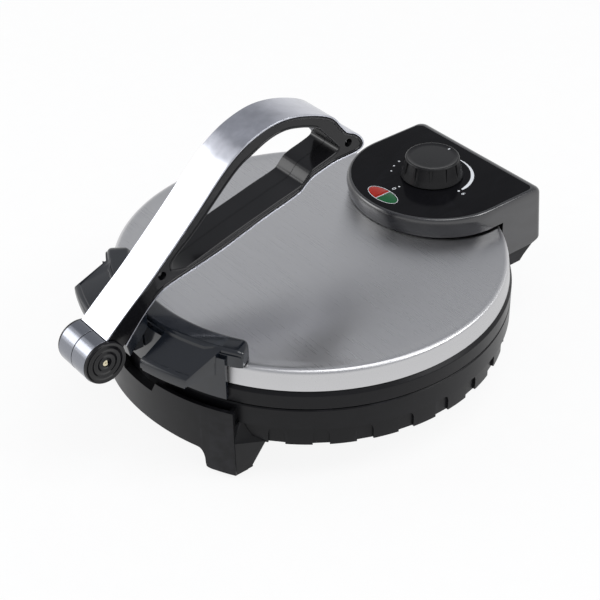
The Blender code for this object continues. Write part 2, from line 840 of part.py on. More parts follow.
def separate_lofts(name, groups):
    """One mesh of separate bodies, each through two rings, used as a cutter."""
    points = []
    faces = []
    for low, high in groups:
        first = len(points)
        count = len(low)
        points += [*low, *high]
        faces += ring_faces(first, count, first + count)
        faces.append(tuple(range(first, first + count)))
        faces.append(tuple(range(first + count, first + 2 * count)))
    return mesh_from(name, points, faces)


def knuckle_spans(start, end, margin=0.0):
    """The two spans along X of a pair of hinge knuckles."""
    return [(-end - margin, -start + margin), (start - margin, end + margin)]


def hinge_rod(name, radius, low, high):
    return rod_x(name, radius, low, high, HINGE_Y, HINGE_Z, SMALL_SIDES)


def build_base_housing(root, materials):
    """Black base: ring, vent notches, apron, legs, rear block and hinge knuckles."""
    base = new_object("base_housing", turned("base_housing", ring_section(), LARGE_SIDES), root)
    cut(base, separate_lofts("vents", [vent_notch(angle) for angle in vent_angles()]))
    join(base, swept("apron", apron_angles(), apron_section))
    cut(base, apron_slot())
    for side in (-1, 1):
        join(base, front_leg(side))
        join(base, apron_end(side))
    cut(base, inside_form())
    for side in (-1, 1):
        join(base, rear_leg(side))
    for place in cover_screw_places():
        boss = circle(SCREW_BOSS_RADIUS, SMALL_SIDES, *place)
        low = COVER_Z + COVER_THICKNESS + SEAT_GAP
        join(base, extruded_z("boss", boss, low, low + SCREW_BOSS_HEIGHT))
        hole = circle(SCREW_SHANK_RADIUS + RUN_GAP, SMALL_SIDES, *place)
        cut(base, extruded_z("boss_hole", hole, low - CUT_OVERRUN, low + SCREW_SHANK_LENGTH))
    join(base, rear_block())
    for low, high in knuckle_spans(BASE_KNUCKLE_START, BASE_KNUCKLE_END):
        join(base, hinge_rod("knuckle", KNUCKLE_RADIUS, low, high))
    for low, high in knuckle_spans(LID_KNUCKLE_START, LID_KNUCKLE_END, RUN_GAP):
        cut(base, hinge_rod("groove", KNUCKLE_RADIUS + 2 * RUN_GAP, low, high))
    reach = HINGE_PIN_HALF_LENGTH + CUT_OVERRUN
    cut(base, hinge_rod("bore", HINGE_PIN_RADIUS + RUN_GAP, -reach, reach))
    return finish(base, materials["black_plastic"])


def cover_screw_places():
    return [
        (COVER_SCREW_CIRCLE * math.sin(angle), -COVER_SCREW_CIRCLE * math.cos(angle))
        for angle in map(math.radians, COVER_SCREW_ANGLES_DEG)
    ]


def build_foot_pads(root, materials):
    """Rubber pad under each leg."""
    for side, word in ((-1, "left"), (1, "right")):
        rings = {
            "front": leg_ring(side, LEG_FOOT_ANGLE_DEG, 0),
            "rear": rear_leg_ring(side, REAR_LEG_TAPER, 0),
        }
        for end, ring in rings.items():
            middle = sum((Vector(point) for point in ring), Vector()) / len(ring)
            outline = [tuple(middle + (Vector(point) - middle) * PAD_SHARE)[:2] for point in ring]
            name = "foot_pad_" + end + "_" + word
            pad = new_object(name, extruded_z(name, outline, 0, PAD_HEIGHT), root)
            finish(pad, materials["rubber"], smooth=False)


def plate_section(face_z, back_z, outward):
    """Half section of a cooking plate: flat face, thick lip behind the seat flange, boss at its back.

    outward is -1 for the lower plate, whose back faces down, and +1 for the upper one.
    """
    lip_radius = PLATE_RADIUS + PLATE_LIP_WIDTH
    lip_z = back_z - outward * PLATE_LIP_THICKNESS
    return [
        (0, face_z),
        (PLATE_RADIUS - PLATE_EDGE, face_z),
        (PLATE_RADIUS, face_z + outward * PLATE_EDGE),
        (PLATE_RADIUS, lip_z),
        (lip_radius, lip_z),
        (lip_radius, back_z),
        (PLATE_BOSS_RADIUS * 2, back_z),
        (PLATE_BOSS_RADIUS, back_z + outward * PLATE_BOSS_HEIGHT),
        (0, back_z + outward * PLATE_BOSS_HEIGHT),
    ]


def build_plate_set(prefix, face_z, back_z, outward, pivot, materials):
    """Cooking plate with the heating element and heat shield behind it."""
    section = plate_section(face_z, back_z, outward)
    plate = new_object(prefix + "_plate", turned(prefix + "_plate", section, LARGE_SIDES), pivot)
    finish(plate, materials["non_stick"])
    ring = element_mesh(prefix + "_heating_element", back_z + outward * (ELEMENT_TUBE + SEAT_GAP))
    finish(new_object(prefix + "_heating_element", ring, pivot), materials["element_steel"])
    dish = turned(prefix + "_heat_shield", shield_section(back_z, outward), 2 * MEDIUM_SIDES)
    finish(new_object(prefix + "_heat_shield", dish, pivot), materials["shield_steel"])


def element_mesh(name, z):
    """Tubular heating element on the back of its plate: an open ring with its ends at the rear."""
    sweep = math.radians(ELEMENT_SWEEP_DEG)
    first = math.pi / 2 + (math.tau - sweep) / 2
    rings = []
    for angle in spread(first, first + sweep, ELEMENT_STEPS):
        out = Vector((math.cos(angle), math.sin(angle), 0))
        middle = out * ELEMENT_RADIUS + Vector((0, 0, z))
        section = circle(ELEMENT_TUBE, TUBE_SIDES)
        rings.append([tuple(middle + out * u + Vector((0, 0, v))) for u, v in section])
    return lofted(name, rings)


def shield_section(back_z, outward):
    """Pressed steel dish that closes off the element, its rim against the plate."""
    rim_z = back_z + outward * SEAT_GAP
    floor_z = rim_z + outward * SHIELD_DEPTH
    sheet = SHIELD_THICKNESS
    return [
        (SHIELD_RIM_RADIUS, rim_z),
        (SHIELD_RIM_RADIUS, rim_z + outward * sheet),
        (SHIELD_DISH_RADIUS + sheet, rim_z + outward * sheet),
        (SHIELD_DISH_RADIUS, floor_z + outward * sheet),
        (SHIELD_VENT_RADIUS, floor_z + outward * sheet),
        (SHIELD_VENT_RADIUS, floor_z),
        (SHIELD_DISH_RADIUS - sheet, floor_z),
        (SHIELD_DISH_RADIUS, rim_z),
    ]


def build_bottom_cover(root, materials):
    """Steel disc that closes the base, with rows of vent slots and screw holes."""
    radius = WALL_RADIUS - HOUSING_WALL - SEAT_GAP
    top = COVER_Z + COVER_THICKNESS
    name = "bottom_cover"
    cover = new_object(name, extruded_z(name, circle(radius, LARGE_SIDES), COVER_Z, top), root)
    low = COVER_Z - CUT_OVERRUN
    high = top + CUT_OVERRUN
    groups = []
    first = -(COVER_SLOT_COUNT - 1) / 2
    for side in (-1, 1):
        for k in range(COVER_SLOT_COUNT):
            middle_x = side * COVER_SLOT_LENGTH
            middle_y = (first + k) * COVER_SLOT_PITCH
            outline = slot_outline(middle_x, middle_y, COVER_SLOT_LENGTH, COVER_SLOT_WIDTH)
            groups.append([[(x, y, z) for x, y in outline] for z in (low, high)])
    for place in cover_screw_places():
        outline = circle(SCREW_SHANK_RADIUS + RUN_GAP, SMALL_SIDES, *place)
        groups.append([[(x, y, z) for x, y in outline] for z in (low, high)])
    cut(cover, separate_lofts("cover_holes", groups))
    finish(cover, materials["plain_steel"])


def slot_outline(x, y, length, width):
    """Closed points of a slot with round ends, along X."""
    reach = (length - width) / 2
    half = width / 2
    points = [(x + reach + half * math.sin(t), y - half * math.cos(t)) for t in spread(0, math.pi, 4)]
    points += [(x - reach - half * math.sin(t), y + half * math.cos(t)) for t in spread(0, math.pi, 4)]
    return points


def aimed(place, direction):
    """Matrix that puts a shape drawn along +Z at a place, along a direction."""
    turn = Vector(direction).to_track_quat("Z", "Y").to_matrix().to_4x4()
    return Matrix.Translation(Vector(place)) @ turn


def screw_mesh(name, head_radius, head_height, shank_radius, shank_length, place, direction):
    """Pan-head screw: its shank starts at a place and runs along a direction, the head behind it."""
    profile = [
        (0, -head_height),
        (head_radius / 2, -head_height),
        (head_radius, -head_height / 2),
        (head_radius, 0),
        (shank_radius, 0),
        (shank_radius, shank_length),
        (0, shank_length),
    ]
    mesh = turned(name, profile, SMALL_SIDES)
    mesh.transform(aimed(place, direction))
    return mesh


def build_bottom_screws(root, materials):
    for k, (x, y) in enumerate(cover_screw_places(), start=1):
        name = "bottom_screw_" + str(k)
        place = (x, y, COVER_Z - SEAT_GAP)
        mesh = screw_mesh(
            name,
            SCREW_HEAD_RADIUS,
            SCREW_HEAD_HEIGHT,
            SCREW_SHANK_RADIUS,
            SCREW_SHANK_LENGTH,
            place,
            (0, 0, 1),
        )
        finish(new_object(name, mesh, root), materials["plain_steel"])


def build_base_wiring(root, materials):
    """Ceramic terminal block on the bottom cover and the thermal fuse on the lower plate."""
    low_z = COVER_Z + COVER_THICKNESS + SEAT_GAP
    high_z = low_z + TERMINAL_HEIGHT
    half = TERMINAL_WIDTH / 2
    low = (-half, TERMINAL_Y, low_z)
    high = (half, TERMINAL_Y + TERMINAL_DEPTH, high_z)
    terminal = new_object("terminal_block", block("terminal_block", low, high), root)
    for k in range(TERMINAL_GROOVES):
        x = -half + TERMINAL_WIDTH * (k + 0.5) / TERMINAL_GROOVES
        groove_low = (x - TERMINAL_GROOVE_WIDTH / 2, TERMINAL_Y - CUT_OVERRUN, high_z - TERMINAL_GROOVE_DEPTH)
        groove_end = TERMINAL_Y + TERMINAL_DEPTH + CUT_OVERRUN
        groove_high = (x + TERMINAL_GROOVE_WIDTH / 2, groove_end, high_z + CUT_OVERRUN)
        cut(terminal, block("groove", groove_low, groove_high))
    finish(terminal, materials["ceramic"], smooth=False)
    body = FUSE_LENGTH / 2 - FUSE_NECK_LENGTH
    profile = [
        (0, -FUSE_LENGTH / 2),
        (FUSE_NECK_RADIUS, -FUSE_LENGTH / 2),
        (FUSE_NECK_RADIUS, -body),
        (FUSE_RADIUS, -body),
        (FUSE_RADIUS, body),
        (FUSE_NECK_RADIUS, body),
        (FUSE_NECK_RADIUS, FUSE_LENGTH / 2),
        (0, FUSE_LENGTH / 2),
    ]
    fuse = turned("thermal_fuse", profile, SMALL_SIDES)
    fuse.transform(aimed((0, FUSE_Y, LOWER_PLATE_BACK_Z - SEAT_GAP - FUSE_RADIUS), (1, 0, 0)))
    finish(new_object("thermal_fuse", fuse, root), materials["ceramic"])


def build_hinge_pin(root, materials):
    reach = HINGE_PIN_HALF_LENGTH
    pin = new_object("hinge_pin", hinge_rod("hinge_pin", HINGE_PIN_RADIUS, -reach, reach), root)
    finish(pin, materials["plain_steel"])


# Lid

def lid_section():
    """Half section of the pressed steel cover: band, rolled corner, raised bead and a slight dome."""
    side = BAND_RADIUS - BAND_DRAFT
    corner_r = side - LID_CORNER
    corner_z = BEAD_TOP_Z - LID_CORNER
    inner_corner = LID_CORNER - LID_SHEET
    bead_r = corner_r - LID_BEAD_WIDTH
    middle_z = RIM_Z + LID_DOME * LID_DOME_MIDDLE_SHARE
    turns = spread(0, math.pi / 2, LID_CORNER_STEPS)
    outer = [(BAND_RADIUS, BAND_FOOT_Z)]
    outer += [(corner_r + LID_CORNER * math.cos(t), corner_z + LID_CORNER * math.sin(t)) for t in turns]
    outer += [(bead_r, RIM_Z), (bead_r / 2, middle_z), (0, DOME_TOP_Z)]
    inner = [(0, DOME_TOP_Z - LID_SHEET), (bead_r / 2, middle_z - LID_SHEET)]
    inner += [(bead_r, RIM_Z - LID_SHEET)]
    inner += [
        (corner_r + inner_corner * math.cos(t), corner_z + inner_corner * math.sin(t))
        for t in reversed(turns)
    ]
    inner += [(BAND_RADIUS - LID_SHEET, BAND_FOOT_Z)]
    return outer + inner


def build_lid_cover(lid, materials):
    """Brushed steel cover with the hole under the thermostat."""
    cover = new_object("lid_cover", turned("lid_cover", lid_section(), LARGE_SIDES), lid)
    hole = circle(LID_HOLE_RADIUS, MEDIUM_SIDES, 0, PANEL_CENTRE_Y)
    cut(cover, extruded_z("lid_hole", hole, RIM_Z - LID_CORNER, BEAD_TOP_Z + CUT_OVERRUN))
    for side in (-1, 1):
        cut(cover, grip_screw_hole(side))
    finish(cover, materials["brushed_steel"])


def skirt_section():
    """Closed section of the black ring under the band, with the plate's flange and the cover's tongue."""
    tongue_outer = BAND_RADIUS - LID_SHEET - BAND_DRAFT / 2 - SEAT_GAP
    tongue_inner = tongue_outer - SKIRT_TONGUE_WIDTH
    tongue_top = SKIRT_TOP_Z + SKIRT_TONGUE_HEIGHT
    flange_top = LID_FOOT_Z + FLANGE_THICKNESS
    return [
        (PLATE_WELL_RADIUS, LID_FOOT_Z),
        (RING_RADIUS - RING_EDGE, LID_FOOT_Z),
        (RING_RADIUS, LID_FOOT_Z + RING_EDGE),
        (RING_RADIUS, SKIRT_TOP_Z - SKIRT_CHAMFER),
        (RING_RADIUS - SKIRT_CHAMFER, SKIRT_TOP_Z),
        (tongue_outer, SKIRT_TOP_Z),
        (tongue_outer, tongue_top),
        (tongue_inner, tongue_top),
        (tongue_inner, flange_top),
        (PLATE_WELL_RADIUS, flange_top),
    ]


def grip_screw_place(side):
    """Underside of the cover, where a screw goes up into the grip."""
    angle = side * math.radians(GRIP_SCREW_ANGLE_DEG)
    return (GRIP_SCREW_CIRCLE * math.sin(angle), -GRIP_SCREW_CIRCLE * math.cos(angle), GRIP_SCREW_Z)


def grip_screw_hole(side):
    """Round hole up through the cover into the grip."""
    x, y, z = grip_screw_place(side)
    outline = circle(SCREW_SHANK_RADIUS + RUN_GAP, SMALL_SIDES, x, y)
    return extruded_z("hole", outline, z - CUT_OVERRUN, z + GRIP_SCREW_LENGTH + SEAT_GAP)


def build_lid_skirt(lid, materials):
    skirt = new_object("lid_skirt", turned("lid_skirt", skirt_section(), LARGE_SIDES), lid)
    finish(skirt, materials["black_plastic"])


def d_outline(half_width, front, rear_y):
    """Closed D-shaped plan: straight sides and back, half-elliptic front towards the handle."""
    corner = HOUSING_REAR_CORNER
    points = []
    for side in (1, -1):
        turns = spread(0, math.pi / 2, HOUSING_CORNER_STEPS)
        for turn in turns if side > 0 else reversed(turns):
            x = half_width - corner + corner * math.cos(turn)
            points.append((side * x, rear_y - corner + corner * math.sin(turn)))
    for turn in spread(0, math.pi, HOUSING_ARC_SIDES):
        points.append((-half_width * math.cos(turn), PANEL_CENTRE_Y - front * math.sin(turn)))
    return points


def d_loft(name, levels):
    """Solid through D-shaped plans given as (height, half width, front, rear)."""
    return lofted(name, [[(x, y, z) for x, y in d_outline(*plan)] for z, *plan in levels])


def housing_mesh():
    """Outer form of the control housing: flared sides, tucked-in front and a bevelled top rim."""
    bevel = PANEL_HALF_WIDTH + BEVEL_REACH
    bevel_front = PANEL_FRONT_DEPTH + BEVEL_REACH
    flared = bevel + HOUSING_SIDE_FLARE
    tucked = bevel_front - HOUSING_FOOT_TUCK
    rim_plan = (PANEL_HALF_WIDTH + PANEL_RIM, PANEL_FRONT_DEPTH + PANEL_RIM, PANEL_REAR_Y + PANEL_RIM)
    bevel_z = PANEL_TOP_Z - BEVEL_DROP
    rear_top = HOUSING_REAR_REACH - HOUSING_REAR_DRAFT
    share = (HOUSING_FOOT_Z - LID_FOOT_Z) / (bevel_z - LID_FOOT_Z)
    middle = flared - HOUSING_SIDE_FLARE * share
    middle_rear = HOUSING_REAR_REACH - HOUSING_REAR_DRAFT * share
    return d_loft(
        "control_housing",
        [
            (LID_FOOT_Z, flared, tucked, HOUSING_REAR_REACH),
            (HOUSING_FOOT_Z, middle, tucked, middle_rear),
            (bevel_z, bevel, bevel_front, rear_top),
            (PANEL_TOP_Z, *rim_plan),
        ],
    )


def build_control_housing(lid, materials):
    """Black housing on the lid's rear: hollow under the panel, hinge knuckles at its lower rear edge."""
    housing = new_object("control_housing", housing_mesh(), lid)
    skirt = RING_RADIUS + HOUSING_RING_GAP
    band = BAND_RADIUS + HOUSING_RING_GAP
    step = SKIRT_TOP_Z + SEAT_GAP
    low = LID_FOOT_Z - CUT_OVERRUN
    lid_form = [
        (0, HOUSING_FOOT_Z),
        (band, HOUSING_FOOT_Z),
        (band, step),
        (skirt, step),
        (skirt, low),
        (0, low),
    ]
    cut(housing, turned("lid_form", lid_form, LARGE_SIDES, turn=math.radians(FINE_ANGLE_DEG)))
    inner_front = PANEL_FRONT_DEPTH - HOUSING_ROOF
    inner = (PANEL_HALF_WIDTH - HOUSING_ROOF, inner_front, PANEL_REAR_Y - 3 * HOUSING_ROOF)
    cut(housing, d_loft("cavity", [(HOUSING_FOOT_Z - CUT_OVERRUN, *inner), (ROOF_UNDERSIDE_Z, *inner)]))
    recess = (PANEL_HALF_WIDTH, PANEL_FRONT_DEPTH, PANEL_REAR_Y)
    cut(housing, d_loft("recess", [(PANEL_SEAT_Z, *recess), (PANEL_TOP_Z + CUT_OVERRUN, *recess)]))
    roof = (ROOF_UNDERSIDE_Z - CUT_OVERRUN, PANEL_SEAT_Z + CUT_OVERRUN)
    hole = circle(BUSHING_RADIUS + RUN_GAP, SMALL_SIDES, 0, PANEL_CENTRE_Y)
    cut(housing, extruded_z("bushing_hole", hole, *roof))
    window = leaf_arc(2 * RUN_GAP, 0, math.tau, WINDOW_STEPS)[:-1]
    cut(housing, extruded_z("lamp_window", window, *roof))
    notch = BASE_KNUCKLE_END + RUN_GAP
    notch_radius = KNUCKLE_RADIUS + 3 * RUN_GAP
    notch_low = (-notch, HINGE_Y - notch_radius, low)
    notch_high = (notch, HOUSING_REAR_REACH + CUT_OVERRUN, HINGE_Z + notch_radius)
    cut(housing, block("hinge_notch", notch_low, notch_high))
    cut(housing, rear_corner())
    for start, end in knuckle_spans(LID_KNUCKLE_START, LID_KNUCKLE_END):
        join(housing, hinge_rod("knuckle", KNUCKLE_RADIUS, start, end))
    reach = HINGE_PIN_HALF_LENGTH + CUT_OVERRUN
    cut(housing, hinge_rod("bore", HINGE_PIN_RADIUS + RUN_GAP, -reach, reach))
    finish(housing, materials["black_plastic"])


def rear_corner():
    """Wedge off the housing's lower rear edge, so that it clears the base as the lid opens."""
    half = PANEL_HALF_WIDTH + BEVEL_REACH + HOUSING_SIDE_FLARE + CUT_OVERRUN
    rear = HOUSING_REAR_REACH + CUT_OVERRUN
    low = LID_FOOT_Z - CUT_OVERRUN
    outline = [
        (HINGE_Y - KNUCKLE_RADIUS, low),
        (HINGE_Y - KNUCKLE_RADIUS, LID_FOOT_Z),
        (HINGE_Y, HINGE_Z),
        (rear, LID_FOOT_Z + HOUSING_CORNER_RISE),
        (rear, low),
    ]
    return extruded_x("rear_corner", outline, -half, half)


def leaf_arc(margin, start, sweep, steps):
    """Points along the lamps' oval outline."""
    return [
        (
            LEAF_X + (LEAF_HALF_LENGTH + margin) * math.cos(t),
            LEAF_Y + (LEAF_HALF_WIDTH + margin) * math.sin(t),
        )
        for t in spread(start, start + sweep, steps)
    ]


def lamp_outline(side, margin=0.0):
    """One half of the leaf: rounded outer end, straight inner edge beside the split."""
    start = -math.pi / 2 if side > 0 else math.pi / 2
    points = leaf_arc(margin, start, math.pi, LEAF_STEPS)
    edge = LEAF_X + side * (LEAF_SPLIT / 2 - margin)
    return [(edge, points[0][1]), *points[1:-1], (edge, points[-1][1])]


def build_control_panel(lid, materials):
    """Glossy D-shaped plate with the lamps' openings and the hole for the thermostat's bushing."""
    plan = (PANEL_HALF_WIDTH - RUN_GAP, PANEL_FRONT_DEPTH - RUN_GAP, PANEL_REAR_Y - RUN_GAP)
    levels = [(PANEL_SEAT_Z + SEAT_GAP, *plan), (PANEL_TOP_Z, *plan)]
    panel = new_object("control_panel", d_loft("control_panel", levels), lid)
    span = (PANEL_SEAT_Z - CUT_OVERRUN, PANEL_TOP_Z + CUT_OVERRUN)
    hole = circle(BUSHING_RADIUS + RUN_GAP, SMALL_SIDES, 0, PANEL_CENTRE_Y)
    cut(panel, extruded_z("bushing_hole", hole, *span))
    for side in (-1, 1):
        cut(panel, extruded_z("lamp_hole", lamp_outline(side, RUN_GAP), *span))
    finish(panel, materials["gloss_black"])


def build_lamps(lid, materials):
    """Red and green lenses and the holder with their lamps beneath."""
    for side, name, material in ((-1, "red_lamp", "red_lens"), (1, "green_lamp", "green_lens")):
        mesh = extruded_z(name, lamp_outline(side), ROOF_UNDERSIDE_Z, PANEL_TOP_Z + LAMP_PROUD)
        finish(new_object(name, mesh, lid), materials[material])
    top = ROOF_UNDERSIDE_Z - SEAT_GAP
    low = (LEAF_X - LEAF_HALF_LENGTH, LEAF_Y - LEAF_HALF_WIDTH, top - HOLDER_HEIGHT)
    high = (LEAF_X + LEAF_HALF_LENGTH, LEAF_Y + LEAF_HALF_WIDTH, top)
    holder = new_object("lamp_holder", block("lamp_holder", low, high), lid)
    edge_round(holder, HOLDER_EDGE)
    finish(holder, materials["ceramic"], smooth=False)


def build_thermostat(lid, materials):
    """Round thermostat under the roof, its bushing up through the panel, with a blind bore for the shaft."""
    top = ROOF_UNDERSIDE_Z - SEAT_GAP
    bore = SHAFT_RADIUS + RUN_GAP
    floor = top - SHAFT_IN_THERMOSTAT
    profile = [
        (0, top - THERMOSTAT_HEIGHT),
        (THERMOSTAT_RADIUS, top - THERMOSTAT_HEIGHT),
        (THERMOSTAT_RADIUS, top),
        (BUSHING_RADIUS, top),
        (BUSHING_RADIUS, PANEL_TOP_Z),
        (bore, PANEL_TOP_Z),
        (bore, floor),
        (0, floor),
    ]
    mesh = turned("thermostat", profile, MEDIUM_SIDES, (0, PANEL_CENTRE_Y))
    finish(new_object("thermostat", mesh, lid), materials["plain_steel"])


def grip_end_round(angle):
    """How far the block has drawn in at its rounded ends, from 0 to 1."""
    end = math.radians(GRIP_HALF_ANGLE_DEG)
    start = end - GRIP_END_LENGTH / GRIP_OUTER_RADIUS
    reach = min(max((abs(angle) - start) / (end - start), 0.0), 1.0)
    return 1 - math.sqrt(1 - reach * reach * GRIP_END_SHARE)


def grip_block_section(angle):
    """Closed section of the block that lies on the lid's rim."""
    round_in = grip_end_round(angle)
    width = GRIP_OUTER_RADIUS - GRIP_INNER_RADIUS
    inner = GRIP_INNER_RADIUS + width / 2 * round_in
    top = RIM_Z + GRIP_RISE - GRIP_EDGE * 2 * round_in
    foot = BEAD_TOP_Z + SEAT_GAP
    return [
        (inner, foot),
        (inner, top - 2 * GRIP_EDGE),
        (inner + GRIP_EDGE, top - GRIP_EDGE / 2),
        (inner + 2 * GRIP_EDGE, top),
        (GRIP_OUTER_RADIUS - GRIP_EDGE, top),
        (GRIP_OUTER_RADIUS, top - GRIP_EDGE / 2),
        (GRIP_OUTER_RADIUS + GRIP_EDGE / 2, top - 2 * GRIP_EDGE),
        (GRIP_OUTER_RADIUS + GRIP_EDGE, foot),
    ]


def grip_wall_section(angle):
    """Closed section of the wall that reaches down over the band and the skirt."""
    foot = LID_FOOT_Z + GRIP_WALL_FOOT
    inner = RING_RADIUS + SEAT_GAP
    return [
        (inner, foot),
        (inner, RIM_Z + GRIP_RISE / 2),
        (GRIP_WALL_RADIUS, RIM_Z + WING_ROOT_RISE - GRIP_EDGE),
        (GRIP_WALL_RADIUS, foot),
    ]


def wing_top(radius):
    """Height of a wing's top face, which falls away from the lid."""
    share = (radius - GRIP_WALL_RADIUS) / (WING_REACH_RADIUS - GRIP_WALL_RADIUS)
    return RIM_Z + WING_ROOT_RISE + (WING_TIP_RISE - WING_ROOT_RISE) * share


def wing_section(angle):
    """Closed section of a wing's slab; past its corner the outer end follows a plane square to X."""
    root = GRIP_WALL_RADIUS - 3 * JOIN_OVERLAP
    tip = min(WING_REACH_RADIUS, WING_OUTER_X / math.sin(abs(angle)))
    return [
        (root, wing_top(root)),
        (tip - WING_EDGE, wing_top(tip - WING_EDGE)),
        (tip, wing_top(tip) - WING_EDGE),
        (tip, wing_top(tip) - WING_THICKNESS),
        (root, wing_top(root) - WING_THICKNESS),
    ]


def wing_lip_section(angle):
    """Closed section of the turned-down lip along a wing's front edge."""
    outer = WING_REACH_RADIUS - WING_EDGE / 2
    inner = outer - WING_RIB_WIDTH
    top = wing_top(outer) - WING_THICKNESS / 2
    return [(inner, top), (outer, top), (outer, top - WING_LIP_DEPTH), (inner, top - WING_LIP_DEPTH)]


def wing_rib(side):
    """Gusset along a wing's outer side, deeper towards the grip's wall."""
    high = WING_OUTER_X - WING_EDGE / 2
    low = high - WING_RIB_WIDTH
    root = GRIP_WALL_RADIUS - JOIN_OVERLAP / 2
    tip = WING_REACH_RADIUS - WING_EDGE
    outline = []
    for radius, drop in (
        (root, WING_THICKNESS / 2),
        (tip, WING_THICKNESS / 2),
        (tip, WING_RIB_TIP_DEPTH),
        (root, WING_RIB_ROOT_DEPTH),
    ):
        outline.append((-math.sqrt(radius * radius - WING_OUTER_X * WING_OUTER_X), wing_top(radius) - drop))
    ends = (low, high) if side > 0 else (-high, -low)
    return extruded_x("wing_rib", outline, *ends)


def wing_lip_angles(side):
    """Directions along a wing's curved front edge, without its very ends."""
    inner = math.radians(WING_INNER_ANGLE_DEG) + WING_EDGE / WING_REACH_RADIUS
    corner = math.asin((WING_OUTER_X - WING_EDGE) / WING_REACH_RADIUS)
    return [side * angle for angle in spread(inner, corner, WING_STEPS)]


def wing_angles(side):
    """Directions of a wing's sections, to where its side meets the grip's wall."""
    inner = math.radians(WING_INNER_ANGLE_DEG)
    corner = math.asin(WING_OUTER_X / WING_REACH_RADIUS)
    last = math.asin(WING_OUTER_X / (GRIP_WALL_RADIUS - JOIN_OVERLAP))
    angles = spread(inner, corner, WING_STEPS) + spread(corner, last, WING_SIDE_STEPS)[1:]
    return [side * angle for angle in angles]


def build_front_grip(lid, materials):
    """Curved block on the lid's rim, wall over the band, and two lifting wings with turned-down edges."""
    half = math.radians(GRIP_HALF_ANGLE_DEG)
    angles = spread(-half, half, GRIP_STEPS)
    grip = new_object("front_grip", swept("front_grip", angles, grip_block_section), lid)
    wall = math.radians(GRIP_WALL_HALF_ANGLE_DEG)
    join(grip, swept("grip_wall", spread(-wall, wall, GRIP_STEPS - 4), grip_wall_section))
    for side in (-1, 1):
        join(grip, swept("wing", wing_angles(side), wing_section))
        join(grip, swept("wing_lip", wing_lip_angles(side), wing_lip_section))
        join(grip, wing_rib(side))
        cut(grip, grip_screw_hole(side))
    finish(grip, materials["black_plastic"])


def build_grip_screws(lid, materials):
    for side, word in ((-1, "left"), (1, "right")):
        name = "grip_screw_" + word
        sizes = (SCREW_HEAD_RADIUS, SCREW_HEAD_HEIGHT, SCREW_SHANK_RADIUS, GRIP_SCREW_LENGTH)
        mesh = screw_mesh(name, *sizes, grip_screw_place(side), (0, 0, 1))
        finish(new_object(name, mesh, lid), materials["plain_steel"])


# Handle bracket

def from_barrel(y, z):
    """Side-view point counted from the barrel's axis."""
    return (BARREL_Y + y, BARREL_Z + z)


def bracket_face():
    """Distance from the barrel's axis back to the grip's wall, where the bracket is fixed."""
    return -BARREL_Y - GRIP_WALL_RADIUS - SEAT_GAP


def handle_point(share):
    return (share[0] * HANDLE_LENGTH, share[1] * HANDLE_HEIGHT)


def build_handle_bracket(lid, materials):
    """Sloping plate under the handle's root with a web behind it, slotted for the pivot tongue."""
    rear = bracket_face()
    low = Vector(handle_point(STRAP_OUTLINE_SHARES[-1]))
    high = Vector(handle_point(STRAP_OUTLINE_SHARES[-2]))
    along = (high - low).normalized()
    down = Vector((along.y, -along.x))
    start = low + down * BRACKET_STRAP_GAP
    end = high + down * BRACKET_STRAP_GAP
    foot = start + Vector((BRACKET_FRONT_LEAN, -BRACKET_PLATE - BRACKET_FRONT_LEAN))
    lower_rear = foot + along * (rear - foot.x) / along.x
    plate = [start, end, Vector((rear, end.y)), lower_rear, foot]
    outline = [from_barrel(*point) for point in plate]
    name = "handle_bracket"
    bracket = new_object(name, extruded_x(name, outline, -BRACKET_HALF_WIDTH, BRACKET_HALF_WIDTH), lid)
    middle = (start + end) / 2
    web = [
        foot + (start - foot) / 3,
        middle,
        Vector((rear, middle.y)),
        Vector((rear, -BRACKET_WEB_DROP)),
        Vector((foot.x + BRACKET_PLATE, -BRACKET_WEB_DROP)),
        foot + along * BRACKET_FRONT_LEAN,
    ]
    half = BRACKET_WEB_HALF_WIDTH
    join(bracket, extruded_x("bracket_web", [from_barrel(*point) for point in web], -half, half))
    slot = TONGUE_THICKNESS / 2 + RUN_GAP
    slot_low = (-slot, BARREL_Y, BARREL_Z - TONGUE_DROP - RUN_GAP)
    slot_high = (slot, BARREL_Y + TONGUE_REACH + SEAT_GAP, BARREL_Z + TONGUE_TOP + RUN_GAP)
    cut(bracket, block("tongue_slot", slot_low, slot_high))
    finish(bracket, materials["black_plastic"])


def build_pivot_tongue(lid, materials):
    """Steel tongue from the bracket into the barrel's seam, with an eye round the pin."""
    radius = TONGUE_EYE_RADIUS
    first = math.asin(TONGUE_TOP / radius)
    last = math.tau - math.asin(TONGUE_DROP / radius)
    outline = [from_barrel(TONGUE_REACH, -TONGUE_DROP), from_barrel(TONGUE_REACH, TONGUE_TOP)]
    for turn in spread(first, last, SMALL_SIDES):
        outline.append(from_barrel(radius * math.cos(turn), radius * math.sin(turn)))
    half = TONGUE_THICKNESS / 2
    tongue = new_object("pivot_tongue", extruded_x("pivot_tongue", outline, -half, half), lid)
    reach = half + CUT_OVERRUN
    cut(tongue, barrel_rod("eye_bore", PIN_RADIUS + RUN_GAP, -reach, reach, SMALL_SIDES))
    finish(tongue, materials["plain_steel"])


def barrel_rod(name, radius, low, high, sides):
    return rod_x(name, radius, low, high, BARREL_Y, BARREL_Z, sides)


# Handle

def handle_curve():
    """Outer side view of the handle from the barrel's top over the hump and tail to the barrel's rear."""
    return smooth_curve([handle_point(share) for share in STRAP_OUTLINE_SHARES], HANDLE_CURVE_STEPS)


def build_handle_strap(handle, materials):
    """Polished steel band round the handle."""
    outer = handle_curve()
    inner = offset_inwards(outer, STRAP_THICKNESS)
    outline = [from_barrel(*point) for point in outer + inner[::-1]]
    name = "handle_strap"
    strap = new_object(name, extruded_x(name, outline, -HANDLE_HALF_WIDTH, HANDLE_HALF_WIDTH), handle)
    finish(strap, materials["polished_steel"])


